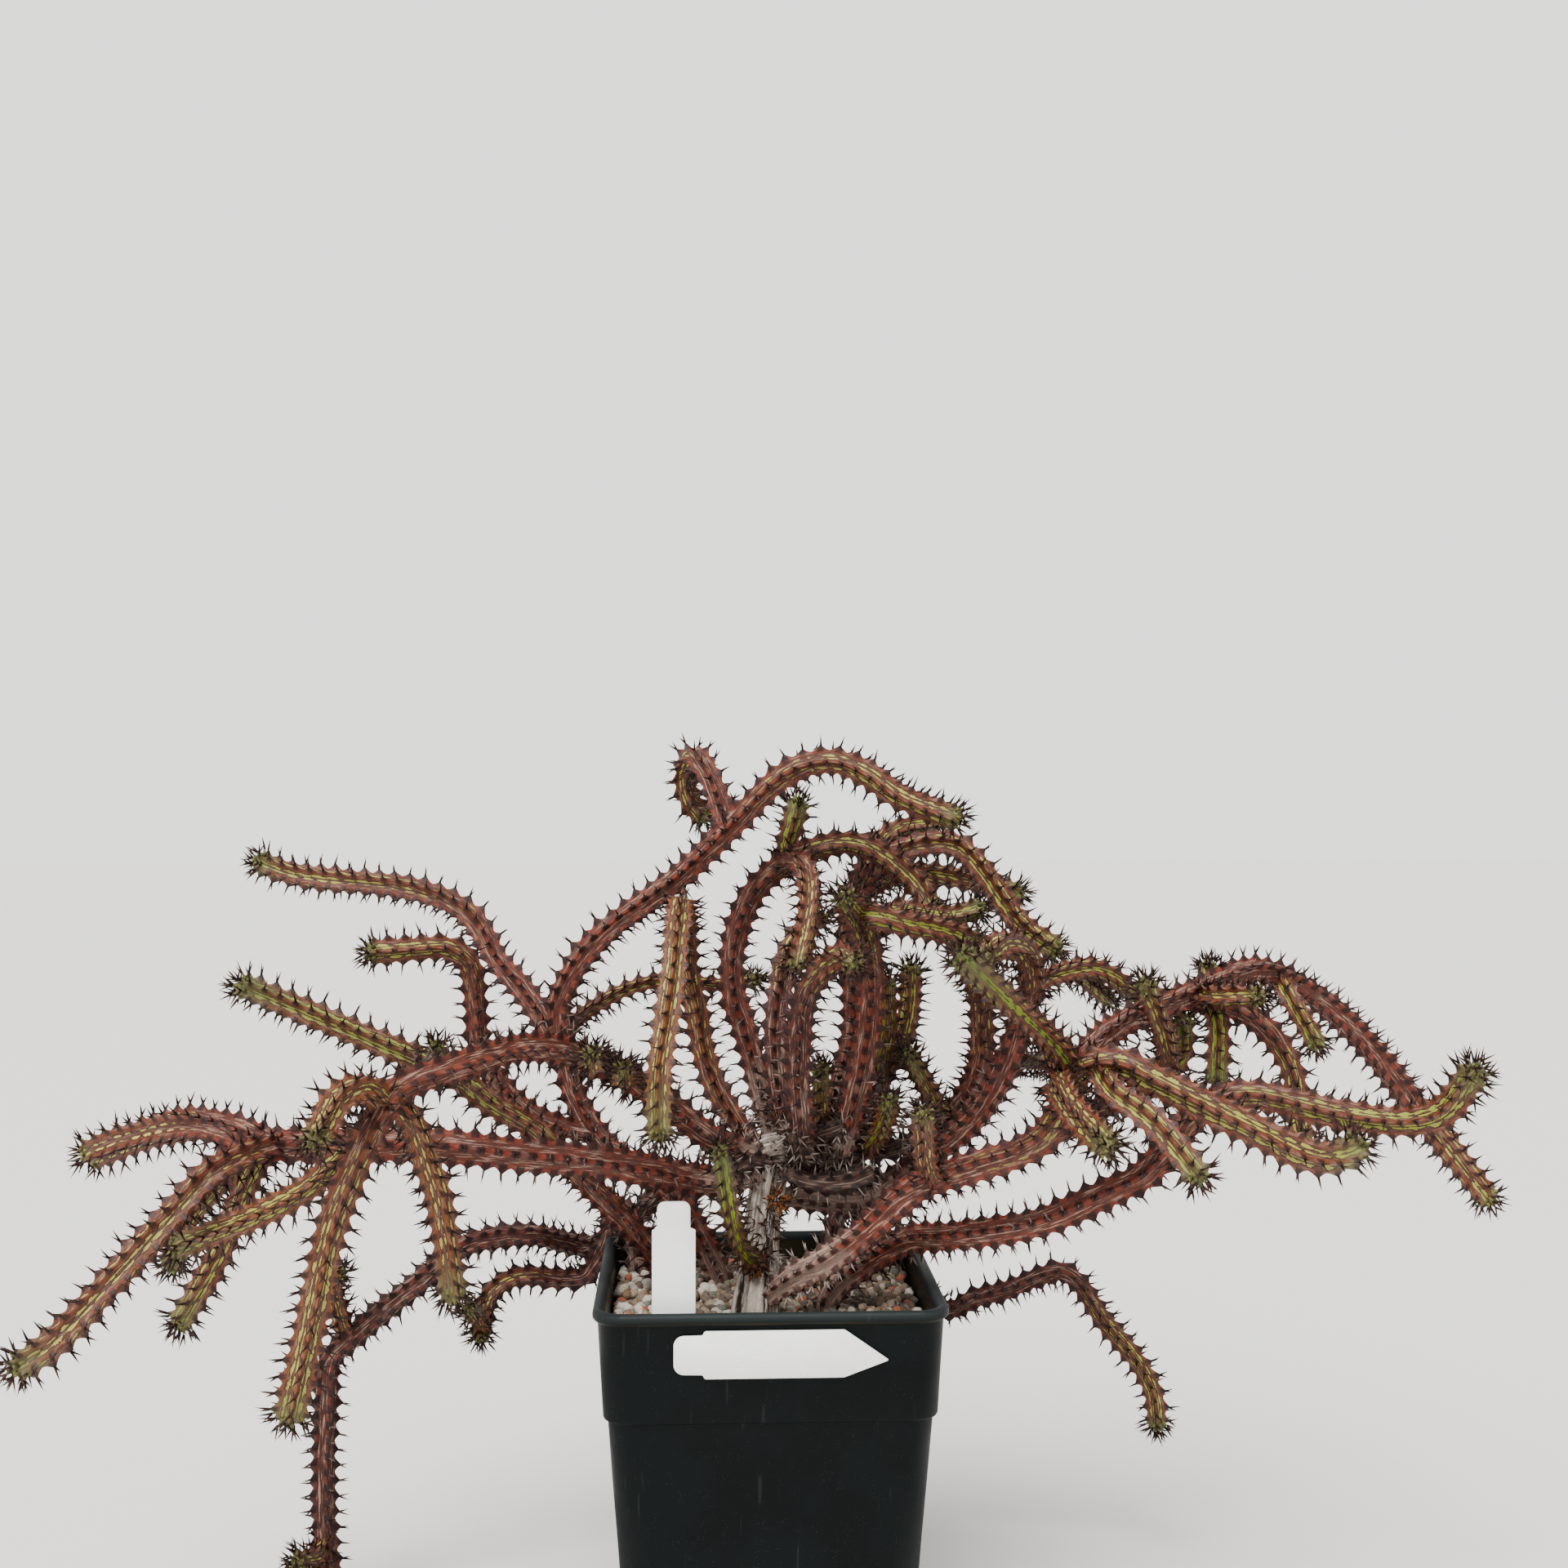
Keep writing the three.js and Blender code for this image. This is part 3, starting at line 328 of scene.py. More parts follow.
coat(tree, shader, colour, between(tree, dust["Cloud"], 0.42, 0.6), 0.09, dust["Grit"], 0.12, 0.0003)
pot = make_piece("square_pot", pot_points, [pot_faces], material, smooth_angle=38)
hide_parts("pot")

# The soil is a damp, dark brown mix that shows only between the stones, and it is made darker still as
# painted shade in the gaps between them. It fills the pot to about a centimetre below the lip and keeps
# the solid's plain holes for the trunk, the stems and the label.
material, tree, shader = new_material("damp soil and painted gap shade")
dust, _ = dusted(tree, 0.5)
# The dark base colour is partly the damp soil's own and partly painted shade in the gaps between the stones.
colour = wash(tree, "1a120e", ("4f3c2c", dust["Grit"]), ("b09a7c", dust["Specks"], 0.7))
coat(tree, shader, colour, 0.95, 0.1, dust["Grit"], 0.8, 0.001)
for holder in frame["nodes"]["gravel_bed"].material_slots:
    holder.material = material

# The top dressing: loose grit and small stones of mixed colours, 3 to 6 mm across, poured over the
# soil. The stones are larger and paler on the left, and browner and finer on the right.
draw = np.random.default_rng(11)
stone_rings = 4
stone_sides = 7
stone_size = stone_rings * stone_sides + 2


def copies(faces, count, size):
    """The faces of a small form of so many points, numbered on for each of its copies."""
    faces = np.array(faces)
    return (faces + np.arange(count)[:, None, None] * size).reshape(-1, faces.shape[1])


def give(piece, name, kind, values):
    """Stores a number, vector or colour with each point of a piece, for its material to read."""
    field = {"FLOAT": "value", "FLOAT_VECTOR": "vector", "FLOAT_COLOR": "color"}[kind]
    piece.data.attributes.new(name, kind, "POINT").data.foreach_set(field, values.ravel())


def pebbles(centres, sizes, draw):
    """Stones of 30 points each: a ball of four rings and two poles, its points pushed in and out at
    random, stretched to the stone's three sizes, turned at random and set at its centre."""
    count = len(centres)
    height = np.cos(np.radians([36, 72, 108, 144]))
    angle = np.arange(stone_sides) * 2 * math.pi / stone_sides
    ring = np.sqrt(1 - height ** 2)[:, None]
    level = np.repeat(height[:, None], stone_sides, axis=1)
    ball = np.stack([ring * np.cos(angle), ring * np.sin(angle), level], -1).reshape(-1, 3)
    ball = np.concatenate([ball, [(0, 0, 1), (0, 0, -1)]])
    lumps = ball * draw.uniform(0.78, 1.2, (count, stone_size, 1)) * sizes[:, None, :] / 2
    axes = np.linalg.qr(draw.normal(size=(count, 3, 3)))[0]
    axes = axes * np.sign(np.linalg.det(axes))[:, None, None]
    flat = draw.uniform(0, 1, (count, 1, 1)) < 0.5
    points = lumps @ np.where(flat, np.eye(3), axes) + centres[:, None, :]
    step = np.arange(stone_sides)
    after = (step + 1) % stone_sides
    last = (stone_rings - 1) * stone_sides
    top = np.stack([step, after, np.full(stone_sides, stone_size - 2)], -1)
    bottom = np.stack([after + last, step + last, np.full(stone_sides, stone_size - 1)], -1)
    forms = (tube_faces(stone_rings, stone_sides)[:, ::-1], top, bottom)
    return points.reshape(-1, 3), [copies(form, count, stone_size) for form in forms]


# The stones lie on a loose grid inside the pot, clear of the label and of the trunk and the stems,
# which have a row each in stands, with a place and the radius kept free.
across = np.arange(-49, 49.5, 3.1)
spot = np.stack(np.meshgrid(across, across), -1).reshape(-1, 2)
spot = np.concatenate([spot, spot[draw.uniform(size=len(spot)) < 0.35]])
spot = spot + draw.uniform(-1.5, 1.5, spot.shape)
edge = np.abs(spot)
stands = np.array([(-4, -18, 9.5), (-15, 22, 5.5), (-33, 10, 5.2), (-22, 40, 5.3), (-43, 36, 4.8),
                   (24, 42, 4.6), (20, -12, 5.8)])
away = np.hypot(spot[:, None, 0] - stands[:, 0], spot[:, None, 1] - stands[:, 1])
inside = (edge.max(axis=1) < 48.6) & (edge.sum(axis=1) < 92.5)
inside &= (away > stands[:, 2]).all(axis=1)
inside &= (np.abs(spot[:, 0] + 30) > 8.2) | (np.abs(spot[:, 1] + 46.5) > 2.2)
spot = spot[inside]
count = len(spot)
leftness = np.clip((10 - spot[:, 0]) / 50, 0, 1)
size = draw.uniform(2.6, 4.3, (count, 1)) + 1.2 * leftness[:, None] * draw.uniform(0.2, 1, (count, 1))
sizes = size * draw.uniform(0.7, 1.1, (count, 3))
soil_top = 109.2
centres = np.column_stack([spot, soil_top + draw.uniform(-0.6, 1.7, count)])
tone = np.clip(draw.uniform(0, 1, count) - 0.12 * leftness, 0, 1)
centres = np.concatenate([centres, [(7, 33, 111.5), (-21, -38, 111.4), (9, -40, 111.0)]])
sizes = np.concatenate([sizes, [(11, 5.5, 4.5), (6, 5.5, 5), (6.5, 5, 5)]])
tone = np.concatenate([tone, [1.0, 0.66, 0.02]])
stone_points, stone_faces = pebbles(centres, sizes, draw)

material, tree, shader = new_material("mixed stones")
dust, _ = dusted(tree, 0.8)
ramp = put(tree, "ValToRGB", {0: put(tree, "Attribute", attribute_name="tone").outputs["Fac"]})
ramp.color_ramp.interpolation = "CONSTANT"
shades = ((0.0, "e6dccb"), (0.11, "b39c80"), (0.22, "896f57"), (0.36, "6b5949"), (0.46, "cdbfa9"),
          (0.54, "574637"), (0.65, "b04e1a"), (0.73, "6c7466"), (0.8, "80603f"), (0.9, "382b22"),
          (0.985, "121110"))
for stop, (start, code) in enumerate(shades):
    mark = ramp.color_ramp.elements[stop] if stop < 2 else ramp.color_ramp.elements.new(start)
    mark.position = start
    mark.color = tint(code)
paler = wash(tree, ramp.outputs[0], ("e9e1d3", 0.18))
colour = wash(tree, ramp.outputs[0], ("43342a", 0.5), (paler, dust["Grit"]))
coat(tree, shader, colour, 0.85, 0.15, dust["Grit"], 0.6, 0.0005)
stones = make_piece("gravel_stones", stone_points, stone_faces, material)
give(stones, "tone", "FLOAT", np.repeat(tone, stone_size))

# The two plant labels: strips cut from white plastic sheet 0.8 mm thick, with a narrower head.
# One is pushed into the soil at the front left, the other lies flat on the pot's collar. Both are bare.
sheet_thickness = 0.8
sheet_edge = 0.15


def unit(rows):
    """Vectors scaled to length one."""
    return rows / np.linalg.norm(rows, axis=-1, keepdims=True)


def strip(outline, bow):
    """A flat strip from its outline: four rings, the outer two pulled in to round the edge, closed
    by a face at each side, and bowed out by a parabola along its length."""
    inward = unit(np.roll(outline, -1, axis=0) - outline) + unit(outline - np.roll(outline, 1, axis=0))
    inward = np.stack([-inward[:, 1], inward[:, 0]], -1)
    inward = inward / np.maximum(np.linalg.norm(inward, axis=1, keepdims=True), 0.6)
    rings = []
    for pull, depth in ((sheet_edge, 0.0), (0.0, sheet_edge), (0.0, sheet_thickness - sheet_edge),
                        (sheet_edge, sheet_thickness)):
        flat = outline + pull * inward
        reach = 2 * (flat[:, 1] - outline[:, 1].min()) / np.ptp(outline[:, 1]) - 1
        rings.append(np.column_stack([flat, depth + bow * (1 - reach ** 2)]))
    around = len(outline)
    caps = [np.arange(around)[None, ::-1], np.arange(around)[None, :] + 3 * around]
    return np.concatenate(rings), [tube_faces(4, around), *caps]


def arc(middle_x, middle_y, radius, start, end, count=6):
    """Points on a circle from one angle to another, in degrees."""
    angle = np.radians(np.linspace(start, end, count))
    return np.column_stack([middle_x + radius * np.cos(angle), middle_y + radius * np.sin(angle)])


material, tree, shader = new_material("white label plastic")
dust, place = dusted(tree, 0.7)
soiled = rise(tree, put(tree, "SeparateXYZ", {0: place}).outputs[2], 0.125, 0.112)
dirt = weighed(tree, 0.12, (soiled, 0.5))
colour = wash(tree, "fafaf8", ("f1efec", dust["Cloud"]), ("8a7a66", dust["Specks"], dirt))
coat(tree, shader, colour, between(tree, dust["Cloud"], 0.38, 0.55), 0.5, dust["Grit"], 0.05, 0.0002)

upright = np.concatenate([
    [(-6.7, 88), (6.7, 88)], arc(6.3, 143.6, 0.4, 0, 90, 4), arc(5.6, 144.8, 0.5, 270, 180, 4),
    arc(2.8, 150.2, 2.3, 0, 90) + (0, 0.1), arc(-2.8, 150.2, 2.3, 90, 180) + (0, 0.1),
    arc(-5.6, 144.8, 0.5, 0, -90, 4), arc(-6.3, 143.6, 0.4, 90, 180, 4),
])
points, faces = strip(upright, 0.25)
points = np.column_stack([points[:, 0] - 30, -46.1 - points[:, 2], points[:, 1]])
label = make_piece("upright_label", points, faces, material, smooth_angle=50)
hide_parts("label_upright")

# The collar leans outward from half a width of 51.8 mm to 53.5 mm over 30 mm, and the label with it.
tag = np.concatenate([
    [(-2.4, -13.3), (-2.0, -13.4), (7.2, -0.4), (7.4, 0.2), (7.4, 42.2), (7.1, 42.7), (6.3, 43.1)],
    [(6.1, 43.5)], arc(2.9, 48.9, 3.1, 0, 90, 8), arc(-2.9, 48.9, 3.1, 90, 180, 8),
    [(-6.1, 43.5), (-6.3, 43.1), (-7.1, 42.7), (-7.4, 42.2), (-7.4, 0.2), (-7.2, -0.4)],
])
points, faces = strip(tag, 0.0)
collar_half = 51.8
lean = math.atan((53.5 - collar_half) / 30)
rotation = np.array([[1, 0, 0], [0, math.cos(lean), math.sin(lean)], [0, -math.sin(lean), math.cos(lean)]])
points = np.column_stack([51.9 - points[:, 1], -points[:, 2], points[:, 0]]) @ rotation
points = points + (-29.9, -(collar_half + 21.3 * math.tan(lean)) - 0.15, 107.3)
label = make_piece("collar_label", points, faces, material, smooth_angle=50)
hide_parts("label_front")

# The woody trunk: a short upright stock with a swollen foot, and a knotty crown lying to its right
# that carries most of the stems. Its bark is pale grey, split lengthwise into fibres, and dry.
bark_corners = 96


def smooth_path(route, spacing, tip_length=0):
    """A centripetal Catmull-Rom line through the route's points, in even steps that grow shorter over
    the tip's length, with two directions across it that are carried along without turning: each loses
    its part along the line's own. Returns points, directions ahead and across, and lengths."""
    route = np.asarray(route, dtype=float)
    p = np.concatenate([[2 * route[0] - route[1]], route, [2 * route[-1] - route[-2]]])
    gap = np.sqrt(np.linalg.norm(np.diff(p, axis=0), axis=1))[:, None]
    a, b, c, d = p[:-3], p[1:-2], p[2:-1], p[3:]
    ga, gb, gc = gap[:-2], gap[1:-1], gap[2:]
    slope_b = ((b - a) / ga - (c - a) / (ga + gb) + (c - b) / gb) * gb
    slope_c = ((c - b) / gb - (d - b) / (gb + gc) + (d - c) / gc) * gb
    t = np.linspace(0, 1, 40, endpoint=False)[:, None]
    b, c, slope_b, slope_c = (v[:, None, :] for v in (b, c, slope_b, slope_c))
    fine = b + slope_b * t + (3 * (c - b) - 2 * slope_b - slope_c) * t ** 2
    fine = fine + (2 * (b - c) + slope_b + slope_c) * t ** 3
    fine = np.concatenate([fine.reshape(-1, 3), route[-1:]])
    run = np.concatenate([[0], np.cumsum(np.linalg.norm(np.diff(fine, axis=0), axis=1))])
    steps = max(4, round((run[-1] - tip_length) / spacing))
    along = np.linspace(0, run[-1] - tip_length, steps + 1)
    if tip_length > 0:
        closer = np.cumsum(np.geomspace(1, 0.34, round(1.65 * tip_length / spacing)))
        along = np.concatenate([along, run[-1] - tip_length * (1 - closer / closer[-1])])
    line = np.column_stack([np.interp(along, run, fine[:, k]) for k in range(3)])
    ahead = unit(np.gradient(line, along, axis=0))
    least = np.eye(3)[np.argmin(np.abs(ahead[0]))]
    side = np.cross(ahead[0], np.cross(ahead[0], least))
    sides = []
    for direction in ahead:
        side = side - direction * (side @ direction)
        side = side / math.sqrt(side @ side)
        sides.append(side)
    sides = np.array(sides)
    return line, ahead, sides, np.cross(ahead, sides), along


def around_path(path, angle, radius):
    """Points at an angle and a distance from the middle of each step of a path."""
    line, _, side, up, _ = path
    across = side[:, None, :] * np.cos(angle)[..., None] + up[:, None, :] * np.sin(angle)[..., None]
    return line[:, None, :] + across * radius[..., None]


def grain_of(angle, along):
    """Coordinates for fibres: the place round a limb, and the length along it, in millimetres."""
    return np.stack([4 * np.cos(angle), 4 * np.sin(angle), np.broadcast_to(along, angle.shape)], -1)


def closed_tube(rings):
    """The points and faces of a tube of rings of equal length, with a fan to an added point at each end."""
    count, around = rings.shape[:2]
    step = np.arange(around)
    after = (step + 1) % around
    last = (count - 1) * around
    near = np.stack([after, step, np.full(around, count * around)], -1)
    far = np.stack([last + step, last + after, np.full(around, count * around + 1)], -1)
    points = np.concatenate([rings.reshape(-1, 3), rings[:1].mean(axis=1), rings[-1:].mean(axis=1)])
    return points, tube_faces(count, around), np.concatenate([near, far])


def with_ends(values):
    """A tube's values as rows, with the first of its two end rings again for the added points."""
    return np.concatenate([values.reshape(-1, values.shape[-1]), values[0, :1], values[-1, :1]])


def limb(route, radius_at, seed):
    """A woody limb: a tube whose radius follows a profile, with ridges that wander along it: sine
    waves round the limb, each sliding slowly as it goes, sharpened into fibres."""
    draw = np.random.default_rng(seed)
    path = smooth_path(route, 0.7)
    along = path[4][:, None]
    angle = np.linspace(0, 2 * math.pi, bark_corners, endpoint=False) + np.zeros_like(along)
    relief = np.zeros_like(angle)
    for waves, height in ((3, 0.05), (5, 0.05), (9, 0.035), (14, 0.03), (23, 0.022), (31, 0.016)):
        slide = draw.uniform(0, 6.3) + 0.5 * np.sin(along * draw.uniform(0.03, 0.09) + draw.uniform(0, 6.3))
        relief += height * (1 - 2 * np.abs(np.sin(waves * angle / 2 + slide * 1.7)))
    rings = around_path(path, angle, radius_at(along / along[-1]) * (1 + relief))
    return (*closed_tube(rings), with_ends(grain_of(angle, along)), np.concatenate([relief.ravel(), [0, 0]]))


def trunk_swelling(t):
    """The trunk's radius: 5.6 mm with a bell-shaped swelling of 2.6 mm near its foot."""
    return 5.6 + 2.6 * np.exp(-(((t - 0.3) / 0.22) ** 2))


def crown_bulge(t):
    """The crown's radius: 7.6 mm in the middle, rounded off to both ends."""
    return 7.6 * np.sqrt(np.maximum(0.03, 1 - (2 * t - 1) ** 4))


wood = [
    limb([(-4, -18, 88), (-4, -18, 110), (-3, -17, 123), (-2, -16, 139), (1, -13, 157)], trunk_swelling, 3),
    limb([(-7, -13, 158), (3, -12, 160), (17, -11, 159), (32, -9, 160)], crown_bulge, 4),
]

fibre, given, found = new_group("lengthwise fibres", {"Grain": "Vector", "Density": "Float"},
                                {"Streaks": "Float", "Blotches": "Float", "Skin": "Float"})
long_grain, wide_grain = (
    put(fibre, "VectorMath", {0: given["Grain"], 1: (1.0, 1.0, squeeze)}, operation="MULTIPLY").outputs[0]
    for squeeze in (0.1, 0.5)
)
lines = noise(fibre, long_grain, given["Density"], 3.0, 0.6)
feed(fibre, found, {
    "Streaks": rise(fibre, lines, 0.5, 0.66),
    "Blotches": rise(fibre, noise(fibre, wide_grain, 0.35, 4.0), 0.36, 0.64),
    "Skin": weighed(fibre, lines, (noise(fibre, wide_grain, 3.2, 3.0), 0.5)),
})


def fibres(tree, density):
    """Places the fibre group in a material, read along the piece's own length."""
    grain = put(tree, "Attribute", attribute_name="grain").outputs["Vector"]
    return put(tree, "Group", {"Grain": grain, "Density": density}, node_tree=fibre).outputs


# Grey bark with dark cracks and pale fibres, brown where the stems shade the crown, with a few red scars.
bark, tree, shader = new_material("pale split bark")
strand = fibres(tree, 1.5)
relief = put(tree, "Attribute", attribute_name="relief").outputs["Fac"]
place = put(tree, "SeparateXYZ", {0: put(tree, "TexCoord").outputs["Object"]}).outputs
shaded = product(tree, rise(tree, place[2], 0.147, 0.157), rise(tree, place[0], -0.001, 0.009))
scar = product(tree, rise(tree, strand["Skin"], 0.9, 0.97), rise(tree, strand["Blotches"], 0.5, 0.1))
grey = wash(tree, "7f7269", ("b6aa9d", strand["Blotches"]))
colour = wash(tree, "33271f", (grey, rise(tree, relief, -0.13, -0.03)), ("ded6cc", strand["Streaks"], 0.75),
              ("2a1a13", shaded, 0.82), ("57261a", scar, 0.8))
coat(tree, shader, colour, 0.9, 0.1, strand["Skin"], 0.9, 0.0008)
points, quads, threes, grain, relief = joined(wood)
trunk = make_piece("woody_trunk", points, [quads, threes], bark)
give(trunk, "grain", "FLOAT_VECTOR", grain)
give(trunk, "relief", "FLOAT", relief)
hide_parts("trunk")

# The stems: fleshy, five-ribbed, and toothed along every rib, each tooth tipped with two dry spines.
# Each is rooted in the woody crown or in the soil, with its side shoots grown out of it, so a stem and
# its shoots are one piece. The skin is red-brown where old, and golden or green-striped where young.

